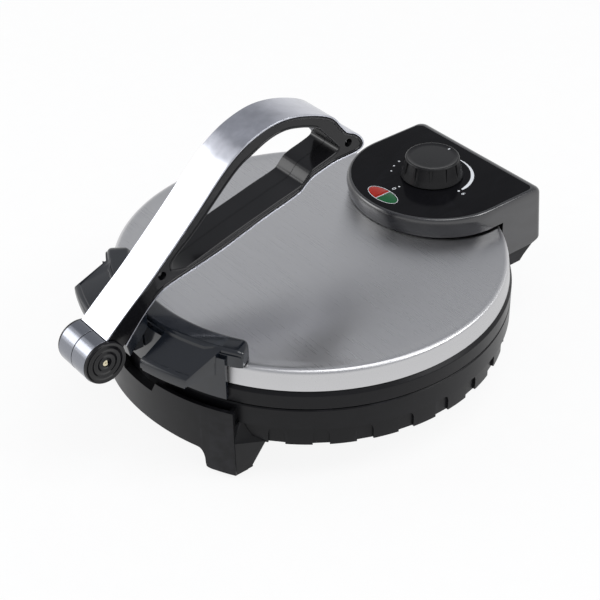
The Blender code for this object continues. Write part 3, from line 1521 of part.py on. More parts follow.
def closed_curve(shares, steps):
    """Smooth closed side-view outline from shares of the handle's size."""
    points = [handle_point(share) for share in shares]
    padded = [points[-1], *points, points[0]]
    curve = smooth_curve(padded, steps)
    return curve[steps:-steps - 1]


def frame_outline():
    """Side view of the frame inside the strap, closed inside the barrel's core."""
    inset = STRAP_THICKNESS + SEAT_GAP
    outline = offset_inwards(handle_curve(), inset)
    core = barrel_core_radius()
    foot = math.radians(ARM_FOOT_DEG)
    outline.append((core * math.cos(foot), core * math.sin(foot)))
    outline.append((0, 0))
    return [from_barrel(*point) for point in outline]


def barrel_core_radius():
    return BARREL_RADIUS - SLEEVE_WALL - SEAT_GAP


def stepped_rod(name, steps, y, z, sides):
    """Rod along X whose radius changes at the given (x, radius) steps."""
    return lofted(name, [[(x, v, w) for v, w in circle(radius, sides, y, z)] for x, radius in steps])


def build_handle_frame(side, handle, materials):
    """Half of the black frame: teardrop opening, screw holes and half of the barrel's core."""
    word = "right" if side > 0 else "left"
    name = "handle_frame_" + word
    inner = FRAME_SEAM / 2
    outer = HANDLE_HALF_WIDTH

    def span(low, high):
        return (low, high) if side > 0 else (-high, -low)

    frame = new_object(name, extruded_x(name, frame_outline(), *span(inner, outer)), handle)
    opening = [from_barrel(*point) for point in closed_curve(OPENING_OUTLINE_SHARES, 2)]
    cut(frame, extruded_x("opening", opening, *span(-CUT_OVERRUN, outer + CUT_OVERRUN)))
    join(frame, barrel_rod("core", barrel_core_radius(), *span(BARREL_SEAM / 2, outer), MEDIUM_SIDES))
    clear = barrel_core_radius() + 2 * RUN_GAP
    cut(frame, barrel_rod("tongue_gap", clear, *span(-CUT_OVERRUN, BARREL_SEAM / 2), MEDIUM_SIDES))
    bore = span(-CUT_OVERRUN, outer + CUT_OVERRUN)
    cut(frame, barrel_rod("pin_bore", PIN_RADIUS + RUN_GAP, *bore, SMALL_SIDES))
    for share in (FRONT_SCREW_SHARE, REAR_SCREW_SHARE):
        y, z = from_barrel(*handle_point(share))
        radius = SCREW_SHANK_RADIUS + RUN_GAP
        if side > 0:
            seat_radius = HANDLE_SCREW_SEAT_RADIUS
            floor = outer - HANDLE_SCREW_SEAT_DEPTH
            steps = [
                (-CUT_OVERRUN, radius),
                (floor, radius),
                (floor, seat_radius),
                (outer + CUT_OVERRUN, seat_radius),
            ]
        else:
            steps = [(-HANDLE_SCREW_REACH - SEAT_GAP, radius), (CUT_OVERRUN, radius)]
        cut(frame, stepped_rod("screw_hole", steps, y, z, SMALL_SIDES))
    finish(frame, materials["black_plastic"])


def build_handle_screws(handle, materials):
    head_x = HANDLE_HALF_WIDTH - HANDLE_SCREW_SEAT_DEPTH + SEAT_GAP
    for name, share in (("handle_screw_front", FRONT_SCREW_SHARE), ("handle_screw_rear", REAR_SCREW_SHARE)):
        y, z = from_barrel(*handle_point(share))
        mesh = screw_mesh(
            name,
            HANDLE_SCREW_HEAD_RADIUS,
            SCREW_HEAD_HEIGHT,
            SCREW_SHANK_RADIUS,
            head_x + HANDLE_SCREW_REACH,
            (head_x, y, z),
            (-1, 0, 0),
        )
        finish(new_object(name, mesh, handle), materials["plain_steel"])


def build_barrel(handle, materials):
    """Chrome sleeves, ringed end caps, pin and the two end screws."""
    turns = spread(math.radians(SLEEVE_START_DEG), math.radians(SLEEVE_END_DEG), MEDIUM_SIDES)
    inner = BARREL_RADIUS - SLEEVE_WALL
    outline = [from_barrel(BARREL_RADIUS * math.cos(t), BARREL_RADIUS * math.sin(t)) for t in turns]
    outline += [from_barrel(inner * math.cos(t), inner * math.sin(t)) for t in reversed(turns)]
    for side, word in ((-1, "left"), (1, "right")):
        low, high = sorted((side * SLEEVE_SEAM / 2, side * HANDLE_HALF_WIDTH))
        name = "barrel_sleeve_" + word
        sleeve = new_object(name, extruded_x(name, outline, low, high), handle)
        cut(sleeve, tongue_path())
        finish(sleeve, materials["polished_steel"])
        name = "barrel_cap_" + word
        cap = turned(name, cap_profile(), MEDIUM_SIDES)
        face = side * (HANDLE_HALF_WIDTH + SEAT_GAP)
        cap.transform(aimed((face, BARREL_Y, BARREL_Z), (side, 0, 0)))
        finish(new_object(name, cap, handle), materials["black_plastic"])
        name = "pivot_screw_" + word
        mesh = turned(name, end_screw_profile(), SMALL_SIDES)
        mesh.transform(aimed((side * HANDLE_HALF_WIDTH, BARREL_Y, BARREL_Z), (side, 0, 0)))
        finish(new_object(name, mesh, handle), materials["brass"])
    reach = HANDLE_HALF_WIDTH - SEAT_GAP
    pin = barrel_rod("pivot_pin", PIN_RADIUS, -reach, reach, SMALL_SIDES)
    finish(new_object("pivot_pin", pin, handle), materials["plain_steel"])


def tongue_path():
    """Sector of the sleeves' seam that the pivot tongue passes through as the handle swings."""
    start = math.radians(SLEEVE_SLOT_START_DEG)
    end = math.radians(SLEEVE_END_DEG) + CUT_OVERRUN / BARREL_RADIUS
    turns = spread(start, end, SLEEVE_SLOT_STEPS)
    outer = BARREL_RADIUS + CUT_OVERRUN
    inner = BARREL_RADIUS - SLEEVE_WALL - CUT_OVERRUN
    outline = [from_barrel(outer * math.cos(t), outer * math.sin(t)) for t in turns]
    outline += [from_barrel(inner * math.cos(t), inner * math.sin(t)) for t in reversed(turns)]
    return extruded_x("tongue_path", outline, -BARREL_SEAM / 2, BARREL_SEAM / 2)


def cap_profile():
    """Half section of an end cap: flat back, raised rings on its face, hole for the end screw."""
    face = CAP_THICKNESS
    edge = BARREL_RADIUS - SEAT_GAP
    ring = CAP_RING_HEIGHT
    hole = END_SCREW_RADIUS + RUN_GAP
    profile = [(hole, 0), (edge, 0), (edge, face - ring)]
    profile += [(edge - ring, face)]
    for share in reversed(CAP_RING_RADII_SHARES):
        level = profile[-1][1]
        other = face - ring if level == face else face
        profile += [(edge * share, level), (edge * share - ring / 2, other)]
    profile += [(hole, profile[-1][1])]
    return profile


def end_screw_profile():
    top = SEAT_GAP + CAP_THICKNESS - CAP_RING_HEIGHT
    radius = END_SCREW_RADIUS
    shoulder = top - CAP_RING_HEIGHT
    return [(0, 0), (radius, 0), (radius, shoulder), (radius * END_SCREW_CROWN_SHARE, top), (0, top)]


# Knob

def knob_profile():
    """Half section of the knob: tapering skirt, dished top, hollow underside with a bored boss."""
    foot = KNOB_FOOT_Z
    top = foot + KNOB_HEIGHT
    bore = SHAFT_RADIUS + RUN_GAP
    bore_top = foot + SHAFT_IN_KNOB + SEAT_GAP
    hollow_top = foot + KNOB_HOLLOW_DEPTH
    boss = 2 * BUSHING_RADIUS
    return [
        (bore, foot + KNOB_EDGE),
        (boss, foot + KNOB_EDGE),
        (boss, hollow_top),
        (KNOB_HOLLOW_RADIUS, hollow_top),
        (KNOB_HOLLOW_RADIUS, foot),
        (KNOB_RADIUS, foot),
        (KNOB_RADIUS, foot + KNOB_EDGE),
        (KNOB_TOP_RADIUS, top - KNOB_EDGE),
        (KNOB_TOP_RADIUS - KNOB_EDGE / 3, top - KNOB_EDGE / 3),
        (KNOB_TOP_RADIUS - KNOB_EDGE, top),
        (KNOB_TOP_RADIUS - 3 * KNOB_EDGE, top - KNOB_DISH),
        (0, top - KNOB_DISH),
        (0, bore_top),
        (bore, bore_top),
    ]


def knob_slot(angle):
    """Upright groove in the knob's skirt."""
    low = KNOB_FOOT_Z + KNOB_HEIGHT * KNOB_SLOT_FOOT_SHARE
    high = KNOB_FOOT_Z + KNOB_HEIGHT * KNOB_SLOT_TOP_SHARE
    half = KNOB_SLOT_WIDTH / 2
    out = Vector((math.cos(angle), math.sin(angle), 0))
    across = Vector((-out.y, out.x, 0))
    middle = Vector((0, PANEL_CENTRE_Y, 0))
    rings = []
    for z in (low, high):
        lean = (KNOB_RADIUS - KNOB_TOP_RADIUS) * (z - KNOB_FOOT_Z) / KNOB_HEIGHT
        surface = KNOB_RADIUS - lean
        ring = []
        for depth, offset in (
            (-CUT_OVERRUN, -half),
            (-CUT_OVERRUN, half),
            (KNOB_SLOT_DEPTH, half),
            (KNOB_SLOT_DEPTH, -half),
        ):
            ring.append(tuple(middle + out * (surface - depth) + across * offset + Vector((0, 0, z))))
        rings.append(ring)
    return rings


def build_knob(knob, materials):
    name = "thermostat_knob"
    mesh = turned(name, knob_profile(), MEDIUM_SIDES * 2, (0, PANEL_CENTRE_Y))
    dial = new_object(name, mesh, knob)
    angles = [math.tau * (k + 0.5) / KNOB_SLOTS for k in range(KNOB_SLOTS)]
    cut(dial, separate_lofts("knob_slots", [knob_slot(angle) for angle in angles]))
    finish(dial, materials["knob_plastic"])
    low = ROOF_UNDERSIDE_Z - SHAFT_IN_THERMOSTAT
    high = KNOB_FOOT_Z + SHAFT_IN_KNOB
    shaft = extruded_z("thermostat_shaft", circle(SHAFT_RADIUS, SMALL_SIDES, 0, PANEL_CENTRE_Y), low, high)
    finish(new_object("thermostat_shaft", shaft, knob), materials["plain_steel"])


# Assembly

def pivot_empty(name, place, parent=None):
    """Empty on a joint's axis; its place is counted from the plates' axis at floor level."""
    empty = bpy.data.objects.new(name, None)
    bpy.context.scene.collection.objects.link(empty)
    empty.parent = parent
    empty.location = Vector(place)
    if parent is not None:
        empty.location = Vector(place) - pivot_place(parent)
    return empty


def clear_scene():
    for obj in list(bpy.data.objects):
        bpy.data.objects.remove(obj, do_unlink=True)


def main():
    clear_scene()
    materials = make_materials()
    root = pivot_empty("plates_axis", (0, AXIS_Y, 0))
    lid = pivot_empty("lid_pivot", (0, HINGE_Y, HINGE_Z), root)
    handle = pivot_empty("handle_pivot", (0, BARREL_Y, BARREL_Z), lid)
    knob = pivot_empty("knob_pivot", (0, PANEL_CENTRE_Y, PANEL_TOP_Z), lid)

    build_base_housing(root, materials)
    build_foot_pads(root, materials)
    build_plate_set("lower", LOWER_FACE_Z, LOWER_PLATE_BACK_Z, -1, root, materials)
    build_bottom_cover(root, materials)
    build_bottom_screws(root, materials)
    build_base_wiring(root, materials)
    build_hinge_pin(root, materials)

    build_lid_cover(lid, materials)
    build_lid_skirt(lid, materials)
    build_plate_set("upper", UPPER_FACE_Z, UPPER_PLATE_BACK_Z, 1, lid, materials)
    build_control_housing(lid, materials)
    build_control_panel(lid, materials)
    build_lamps(lid, materials)
    build_thermostat(lid, materials)
    build_front_grip(lid, materials)
    build_grip_screws(lid, materials)
    build_handle_bracket(lid, materials)
    build_pivot_tongue(lid, materials)

    build_handle_strap(handle, materials)
    for side in (-1, 1):
        build_handle_frame(side, handle, materials)
    build_handle_screws(handle, materials)
    build_barrel(handle, materials)

    build_knob(knob, materials)
    bpy.context.view_layer.update()


main()
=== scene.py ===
"""Looks of the electric roti maker: materials, finer surfaces, small details, light and camera."""

import json
import math

import bmesh
import bpy
from mathutils import Matrix, Vector


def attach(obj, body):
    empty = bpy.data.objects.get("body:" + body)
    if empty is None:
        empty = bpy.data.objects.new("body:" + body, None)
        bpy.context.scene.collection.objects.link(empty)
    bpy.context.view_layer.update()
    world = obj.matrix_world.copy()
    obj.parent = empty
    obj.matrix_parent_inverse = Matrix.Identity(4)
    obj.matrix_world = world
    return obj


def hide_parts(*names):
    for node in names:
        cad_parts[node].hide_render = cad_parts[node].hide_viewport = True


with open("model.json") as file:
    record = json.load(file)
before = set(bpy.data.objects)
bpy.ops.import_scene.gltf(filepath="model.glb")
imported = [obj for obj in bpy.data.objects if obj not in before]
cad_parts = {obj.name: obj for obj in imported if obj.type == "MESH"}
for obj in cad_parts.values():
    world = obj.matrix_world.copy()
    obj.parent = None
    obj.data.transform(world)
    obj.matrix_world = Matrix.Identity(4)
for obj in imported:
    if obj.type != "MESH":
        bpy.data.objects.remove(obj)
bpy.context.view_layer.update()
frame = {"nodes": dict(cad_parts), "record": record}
nodes = frame["nodes"]

# Sizes taken over from the solids, drawn round the plates' axis

# Fits shared by all pieces
SEAT_GAP = 0.0003
RUN_GAP = 0.0003
CUT_OVERRUN = 0.002
JOIN_OVERLAP = 0.001

# Smoothness: sides of a full circle
LARGE_SIDES = 288
MEDIUM_SIDES = 96
SMALL_SIDES = 32

# Small angle: slack where angles are compared, and what keeps two faces out of one plane
FINE_ANGLE_DEG = 0.01

# Base housing
GROUND_CLEARANCE = 0.028
LOWER_WALL_HEIGHT = 0.0145
UPPER_RING_HEIGHT = 0.0163
RING_RADIUS = 0.1414
RING_STEP = 0.0025
HOUSING_WALL = 0.0026
RING_EDGE = 0.0008
FLANGE_THICKNESS = 0.003
VENT_WIDTH = 0.0112
VENT_HEIGHT = 0.0138
VENT_DEPTH = 0.0018
VENT_STEP_DEG = 12.0
VENT_FIRST_DEG = 42.0
VENT_LAST_DEG = 138.0
VENT_ARC_STEPS = 6

# Front apron between the two front legs
APRON_STAND_OFF = 0.0076
APRON_WALL = 0.0028
APRON_LIP = 0.0100
APRON_TOP_DROP = 0.0035
APRON_HALF_ANGLE_DEG = 31.7
APRON_END_ANGLES_DEG = (30.4, 31.5)
APRON_STEPS = 60
APRON_END_STEPS = 2
ARCH_HEIGHT = 0.0187
ARCH_CROWN = 0.0016
ARCH_HALF_ANGLE_DEG = 21.0
SLOT_TOP_HALF_WIDTH = 0.0223
SLOT_FOOT_HALF_WIDTH = 0.0163
SLOT_DEPTH = 0.0085

# Rounded corner of the arch: direction in degrees, share of the arch's height that is left
ARCH_CORNER_DEG_SHARES = (
    (21.7, 0.965), (22.3, 0.885), (22.8, 0.74), (23.1, 0.55), (23.2, 0.25), (23.4, 0.09),
    (24.0, 0.05), (25.0, 0.03),
)

# Legs and foot pads
LEG_FOOT_ANGLE_DEG = 24.8
LEG_HEAD_ANGLE_DEG = 23.6
LEG_FOOT_ROUND = 0.0016
LEG_DEPTH = 0.0134
LEG_STEPS = 3
LEG_FLARE_ANGLE_DEG = 39.0
LEG_WALL_ANGLE_DEG = 35.3
LEG_TOP_ANGLE_DEG = 32.4
PAD_HEIGHT = 0.002
REAR_LEG_ANGLE_DEG = 150.0
REAR_LEG_DEPTH = 0.0249
REAR_LEG_WIDTH = 0.017
REAR_LEG_TAPER = 0.003

# Rear block of the base, under the control housing
REAR_BLOCK_HALF_WIDTH = 0.0620
REAR_BLOCK_STEPS = 36
REAR_BLOCK_TOP_REACH = 0.0178
REAR_BLOCK_HEIGHT = 0.0126
REAR_BLOCK_SHARES = (
    (0.0, 1.0), (0.214, 0.978), (0.706, 0.551), (1.0, 0.360),
)

# Cooking plates
PLATE_INSET = 0.0144
PLATE_EDGE_GAP = 0.0008
PLATE_FACE_DROP = 0.0004
PLATE_LIP_WIDTH = 0.0045
PLATE_LIP_THICKNESS = 0.003
PLATE_EDGE = 0.0008
PLATE_BOSS_RADIUS = 0.012
PLATE_BOSS_HEIGHT = 0.004

# Bottom cover and its screws
COVER_THICKNESS = 0.0015
COVER_RECESS = 0.003
COVER_SCREW_INSET = 0.0038
COVER_SCREW_ANGLES_DEG = (48.0, 132.0, 228.0, 312.0)
SCREW_BOSS_RADIUS = 0.0045
SCREW_BOSS_HEIGHT = 0.012
SCREW_SHANK_RADIUS = 0.0015
SCREW_SHANK_LENGTH = 0.007

# Lid
PARTING_GAP = 0.0006
SKIRT_HEIGHT = 0.013
SKIRT_CHAMFER = 0.0022
SKIRT_TONGUE_HEIGHT = 0.005
SKIRT_TONGUE_WIDTH = 0.0025
BAND_HEIGHT = 0.0153
BAND_INSET = 0.0017
BAND_DRAFT = 0.0010
LID_SHEET = 0.0012
LID_CORNER = 0.0042
LID_BEAD_HEIGHT = 0.0007
LID_DOME = 0.0012
LID_HOLE_RADIUS = 0.016

# Control housing at the rear of the lid
PANEL_HALF_WIDTH = 0.0605
PANEL_CENTRE_INSET = 0.0274
PANEL_FRONT_DEPTH = 0.0580
PANEL_REAR_OVERHANG = 0.0160
PANEL_RISE = 0.0164
PANEL_THICKNESS = 0.002
PANEL_RIM = 0.0008
BEVEL_REACH = 0.0032
BEVEL_DROP = 0.0050
HOUSING_FOOT_TUCK = 0.0030
HOUSING_SIDE_FLARE = 0.0015
HOUSING_REAR_OVERHANG = 0.0246
HOUSING_REAR_CORNER = 0.0050
HOUSING_REAR_DRAFT = 0.0020
HOUSING_CORNER_RISE = 0.0050
HOUSING_ROOF = 0.0025
HOUSING_ARC_SIDES = 72
HOUSING_RING_GAP = 0.0008
HOUSING_CORNER_STEPS = 6

# Lamps: two halves of a leaf in the panel
LEAF_HALF_LENGTH = 0.0137
LEAF_HALF_WIDTH = 0.0064
LEAF_FROM_KNOB = 0.0459
LEAF_X = -0.0015
LEAF_STEPS = 24
WINDOW_STEPS = 48
LEAF_SPLIT = 0.0012
LAMP_PROUD = 0.0004

# Thermostat and knob
BUSHING_RADIUS = 0.005
SHAFT_RADIUS = 0.003
SHAFT_IN_KNOB = 0.009
KNOB_RADIUS = 0.023
KNOB_TOP_RADIUS = 0.0198
KNOB_HEIGHT = 0.0150
KNOB_GAP = 0.0006
KNOB_EDGE = 0.0012
KNOB_DISH = 0.0006
KNOB_SLOTS = 12
KNOB_SLOT_WIDTH = 0.0024
KNOB_SLOT_DEPTH = 0.0014
KNOB_HOLLOW_RADIUS = 0.017
KNOB_HOLLOW_DEPTH = 0.005

# Front grip
GRIP_INNER_INSET = 0.0164
GRIP_OUTER_INSET = 0.0004
GRIP_HALF_ANGLE_DEG = 34.0
GRIP_RISE = 0.0120
GRIP_EDGE = 0.0016
GRIP_STEPS = 72
GRIP_END_LENGTH = 0.0060
GRIP_END_SHARE = 0.9
GRIP_WALL_DEPTH = 0.0032
GRIP_WALL_HALF_ANGLE_DEG = 29.5
GRIP_WALL_FOOT = 0.0035
GRIP_WALL_STEPS = 68
WING_REACH = 0.0246
WING_INNER_ANGLE_DEG = 10.6
WING_OUTER_X_SHARE = 0.4564
WING_ROOT_RISE = 0.0088
WING_TIP_RISE = 0.0003
WING_THICKNESS = 0.0052
WING_LIP_DEPTH = 0.0048
WING_RIB_TIP_DEPTH = 0.0060
WING_RIB_ROOT_DEPTH = 0.0160
WING_RIB_WIDTH = 0.0030
WING_EDGE = 0.0012
WING_STEPS = 24
GRIP_SCREW_ANGLE_DEG = 20.0
GRIP_SCREW_INSET = 0.0050
GRIP_SCREW_LENGTH = 0.0090

# Handle and its barrel
BARREL_OVERHANG = 0.0384
BARREL_DROP = 0.0016
BARREL_RADIUS = 0.0155
BARREL_SEAM = 0.0030
SLEEVE_SEAM = 0.0006
SLEEVE_SLOT_START_DEG = 200.0
SLEEVE_SLOT_STEPS = 24
SLEEVE_WALL = 0.0038
SLEEVE_START_DEG = 81.0
SLEEVE_END_DEG = 372.0
ARM_FOOT_DEG = 15.0
CAP_THICKNESS = 0.0019
CAP_RING_HEIGHT = 0.0005
END_SCREW_RADIUS = 0.0022
PIN_RADIUS = 0.003
HANDLE_LENGTH = 0.2160
HANDLE_HEIGHT = 0.1225
HANDLE_HALF_WIDTH = 0.0150
STRAP_THICKNESS = 0.0012
FRAME_SEAM = 0.0003
HANDLE_CURVE_STEPS = 8
HANDLE_SCREW_SEAT_DEPTH = 0.006
HANDLE_SCREW_SEAT_RADIUS = 0.0030
HANDLE_SCREW_REACH = 0.008

# Outline of the handle seen from its side, as shares of its length and height from the barrel's axis
STRAP_OUTLINE_SHARES = (
    (0.014, 0.124), (0.090, 0.238), (0.166, 0.348), (0.263, 0.503), (0.356, 0.658), (0.448, 0.817),
    (0.512, 0.906), (0.578, 0.964), (0.656, 0.997), (0.731, 0.990), (0.810, 0.950), (0.874, 0.893),
    (0.911, 0.815), (0.934, 0.768), (0.966, 0.738), (0.992, 0.690), (0.998, 0.641), (0.974, 0.612),
    (0.930, 0.607), (0.872, 0.600), (0.799, 0.569), (0.770, 0.540), (0.742, 0.504), (0.678, 0.473),
    (0.599, 0.439), (0.443, 0.360), (0.306, 0.309), (0.245, 0.285), (0.208, 0.256), (0.153, 0.171),
    (0.0815, 0.034),
)
OPENING_OUTLINE_SHARES = (
    (0.261, 0.376), (0.270, 0.434), (0.352, 0.550), (0.499, 0.790), (0.570, 0.863), (0.635, 0.911),
    (0.694, 0.924), (0.750, 0.905), (0.796, 0.876), (0.820, 0.853), (0.836, 0.822), (0.866, 0.760),
    (0.890, 0.708), (0.896, 0.688), (0.886, 0.668), (0.850, 0.648), (0.812, 0.631), (0.788, 0.615),
    (0.772, 0.592), (0.757, 0.565), (0.738, 0.547), (0.658, 0.515), (0.590, 0.485), (0.475, 0.435),
    (0.285, 0.345),
)
FRONT_SCREW_SHARE = (0.2255, 0.364)
REAR_SCREW_SHARE = (0.937, 0.692)

# Bracket that carries the barrel from the front grip
BRACKET_HALF_WIDTH = 0.0140
BRACKET_PLATE = 0.0080
BRACKET_WEB_HALF_WIDTH = 0.0065
BRACKET_WEB_DROP = 0.0100
BRACKET_FRONT_LEAN = 0.0018
BRACKET_STRAP_GAP = 0.0005
TONGUE_THICKNESS = 0.0022
TONGUE_TOP = 0.0010
TONGUE_DROP = 0.0075
TONGUE_REACH = 0.0270

# Hinge at the rear
HINGE_OVERHANG = 0.0189
HINGE_RISE = 0.0020
KNUCKLE_RADIUS = 0.0045
HINGE_PIN_RADIUS = 0.0020
HINGE_PIN_HALF_LENGTH = 0.0520
BASE_KNUCKLE_START = 0.0200
BASE_KNUCKLE_END = 0.0350
LID_KNUCKLE_START = 0.0356
LID_KNUCKLE_END = 0.0500

# Radii and places that follow from the ring's radius
WALL_RADIUS = RING_RADIUS - RING_STEP
APRON_RADIUS = RING_RADIUS + APRON_STAND_OFF
BAND_RADIUS = RING_RADIUS - BAND_INSET
PLATE_RADIUS = RING_RADIUS - PLATE_INSET
PLATE_WELL_RADIUS = PLATE_RADIUS + PLATE_EDGE_GAP
COVER_SCREW_CIRCLE = WALL_RADIUS - HOUSING_WALL - COVER_SCREW_INSET
REAR_LEG_INNER_RADIUS = WALL_RADIUS - REAR_LEG_DEPTH
PANEL_CENTRE_Y = RING_RADIUS - PANEL_CENTRE_INSET
PANEL_REAR_Y = RING_RADIUS + PANEL_REAR_OVERHANG
HOUSING_REAR_REACH = RING_RADIUS + HOUSING_REAR_OVERHANG
LEAF_Y = PANEL_CENTRE_Y - LEAF_FROM_KNOB
GRIP_INNER_RADIUS = RING_RADIUS - GRIP_INNER_INSET
GRIP_OUTER_RADIUS = RING_RADIUS - GRIP_OUTER_INSET
GRIP_WALL_RADIUS = RING_RADIUS + GRIP_WALL_DEPTH
GRIP_SCREW_CIRCLE = GRIP_INNER_RADIUS + GRIP_SCREW_INSET
WING_REACH_RADIUS = RING_RADIUS + WING_REACH
WING_OUTER_X = GRIP_WALL_RADIUS * WING_OUTER_X_SHARE
HINGE_Y = RING_RADIUS + HINGE_OVERHANG
BARREL_Y = -RING_RADIUS - BARREL_OVERHANG
CORE_RADIUS = BARREL_RADIUS - SLEEVE_WALL - SEAT_GAP

# Heights that follow from the sizes above
LEDGE_Z = GROUND_CLEARANCE + LOWER_WALL_HEIGHT
SEAM_Z = LEDGE_Z + UPPER_RING_HEIGHT
LID_FOOT_Z = SEAM_Z + PARTING_GAP
SKIRT_TOP_Z = LID_FOOT_Z + SKIRT_HEIGHT
BAND_FOOT_Z = SKIRT_TOP_Z + SEAT_GAP
RIM_Z = BAND_FOOT_Z + BAND_HEIGHT
BEAD_TOP_Z = RIM_Z + LID_BEAD_HEIGHT
DOME_TOP_Z = RIM_Z + LID_DOME
PANEL_TOP_Z = RIM_Z + PANEL_RISE
PANEL_SEAT_Z = PANEL_TOP_Z - PANEL_THICKNESS - SEAT_GAP
ROOF_UNDERSIDE_Z = PANEL_SEAT_Z - HOUSING_ROOF
HOUSING_FOOT_Z = DOME_TOP_Z + SEAT_GAP
KNOB_FOOT_Z = PANEL_TOP_Z + KNOB_GAP
GRIP_SCREW_Z = RIM_Z - LID_SHEET - SEAT_GAP
BARREL_Z = RIM_Z - BARREL_DROP
HINGE_Z = SEAM_Z + HINGE_RISE
LOWER_FACE_Z = SEAM_Z - PLATE_FACE_DROP
UPPER_FACE_Z = LID_FOOT_Z + PLATE_FACE_DROP
LOWER_PLATE_BACK_Z = SEAM_Z - FLANGE_THICKNESS - SEAT_GAP - PLATE_LIP_THICKNESS
UPPER_PLATE_BACK_Z = LID_FOOT_Z + FLANGE_THICKNESS + SEAT_GAP + PLATE_LIP_THICKNESS
COVER_Z = GROUND_CLEARANCE + COVER_RECESS
LEG_FOOT_Z = PAD_HEIGHT + SEAT_GAP

# The whole object stands with its middle on the origin
FRONT_REACH = -BARREL_Y + BARREL_RADIUS
AXIS_Y = (FRONT_REACH - HOUSING_REAR_REACH) / 2

# Finer details that the solids leave out
SHARP_ANGLE_DEG = 32.0
ROUNDING_SEGMENTS = 2
CORNER_STEPS = 6
BASE_ROUNDING = 0.0005
HOUSING_ROUNDING = 0.0006
PANEL_ROUNDING = 0.0003
HOUSING_RIM_TURNS_DEG = (22.0, 42.0, 60.0, 76.0)
SMALL_ROUNDING = 0.0004
GRIP_ROUNDING = 0.0005
STRAP_ROUNDING = 0.0003
FRAME_ROUNDING = 0.0003
PIN_ROUNDING = 0.0002
RIM_DISH_WIDTH = 0.0080
RIM_DISH_DEPTH = 0.0002
RIM_DISH_SHARES = (0.2, 0.4, 0.6, 0.8, 1.0)
DOME_SHARES = (0.90, 0.75, 0.50, 0.25)

# Print on the panel and the knob
MARK_THICKNESS = 0.00006
DIAL_RADIUS = 0.0297
DIAL_ARC_WIDTH = 0.0024
DIAL_ARC_THIN_SHARE = 0.2
DIAL_ARC_END_SLOPE = 4
DIAL_ARC_END_SHARE = 1.15
DIAL_ARC_STEPS = 48
DIAL_ARC_START_DEG = 96.0
DIAL_ARC_END_DEG = 4.5
DIAL_DOTS_DEG = (265.7, 221.3, 206.5, 192.0, 177.4, 162.7, 148.0, 133.4, 118.7, 104.0)
DIAL_DOT_RADIUS = 0.0007
DIAL_DOT_GROWTH_SHARE = 0.02
DIAL_END_DOT_DEG = -1.6
DIAL_END_DOT_SHARE = 1.3
DIAL_NUMBER_RADIUS = 0.0345
DIAL_NUMBER_SIZE = 0.0048
LAMP_LINE_WIDTH = 0.00035
LENS_EDGE = 0.0012
POINTER_WIDTH = 0.0010
POINTER_LENGTH = 0.0030

# Knob: skirt by shares of height and of the way in, notches by shares of height, width and depth
KNOB_SKIRT_SHARES = ((0.12, 0.10), (0.25, 0.30), (0.45, 0.55), (0.70, 0.80), (0.88, 0.97))
KNOB_NOTCH_SHARES = ((0.20, 0.5, 0.05), (0.42, 1.2, 0.7), (0.80, 1.9, 1.0), (0.90, 2.0, 1.0))
KNOB_RIM_WIDTH = 0.0012

# Finer details of the grip and its wings
GRIP_TOP_ROUND = 0.0028
GRIP_END_STEPS = 8
WING_DISH = 0.0005
WING_LOOK_ROOT_RISE = 0.0108
WING_SIDE_LOOK_STEPS = 8

# Top of a wing: share of the way from its root to its edge, height as a multiple of the dish's depth
WING_TOP_SHARES = (
    (0.0, 1.0), (0.07, 1.0), (0.09, 2.6), (0.14, 2.6), (0.17, 0.0), (0.50, -0.4),
    (0.84, 0.0), (0.875, 1.6), (0.94, 1.6), (0.985, 0.6),
)

# Finer details of the handle and its barrel
SIDES = ((-1, "left"), (1, "right"))
FRAME_SUNK = 0.0007
OPENING_STEPS = 5
RIM_BEAD_RADIUS = 0.0008
RIM_BEAD_SIDES = 10
RIM_TRIM_STEPS = 14
CAP_RING_COUNT = 3
CAP_RING_STEPS = 8
PIN_FLAT_DEG = 52.0

# Looks of plastic, rubber, glass, ceramic and print: colour, roughness and what departs from the usual
MOULDED_LOOKS = {
    "black_plastic": {"colour": (0.005, 0.005, 0.006), "roughness": 0.34, "gloss": 0.20, "wear": 2.6},
    # grip_plastic: the blue in its colour is a painted reflection, the bluish sheen of the sky on the wings'
    # tops; the plastic itself is near black
    "grip_plastic": {
        "colour": (0.006, 0.008, 0.012), "roughness": 0.14,
        "grain_height": 0.0000005, "polish_span": 0.05, "gloss": 0.66,
    },
    "frame_plastic": {
        "colour": (0.005, 0.005, 0.006), "roughness": 0.14,
        "grain_height": 0.0000006, "polish_span": 0.05, "gloss": 0.36,
    },
    "housing_plastic": {
        "colour": (0.015, 0.015, 0.017), "roughness": 0.18,
        "grain_height": 0.0000008, "polish_span": 0.12, "gloss": 1.0,
    },
    "gloss_black": {
        "colour": (0.005, 0.005, 0.006), "roughness": 0.12,
        "grain_height": 0.0000003, "polish_span": 0.04, "gloss": 0.04,
    },
    "knob_plastic": {
        "colour": (0.008, 0.008, 0.009), "roughness": 0.30,
        "grain_height": 0.000003, "gloss": 0.26,
    },
    "non_stick": {
        "colour": (0.030, 0.030, 0.032), "roughness": 0.42,
        "grain": 900.0, "grain_height": 0.00002,
    },
    "rubber": {
        "colour": (0.012, 0.012, 0.012), "roughness": 0.85,
        "grain": 900.0, "grain_height": 0.00004, "gloss": 0.2,
    },
    "ceramic": {"colour": (0.75, 0.72, 0.66), "roughness": 0.55, "wear": 1.1},
    "red_lens": {
        "colour": (0.31, 0.012, 0.004), "roughness": 0.14,
        "grain_height": 0.000001, "gloss": 0.25, "wear": 1.2,
    },
    "green_lens": {
        "colour": (0.005, 0.085, 0.026), "roughness": 0.14,
        "grain_height": 0.000001, "gloss": 0.25, "wear": 1.2,
    },
    "white_print": {"colour": (0.75, 0.77, 0.80), "roughness": 0.45, "grain_height": 0.000001, "wear": 1.05},
}

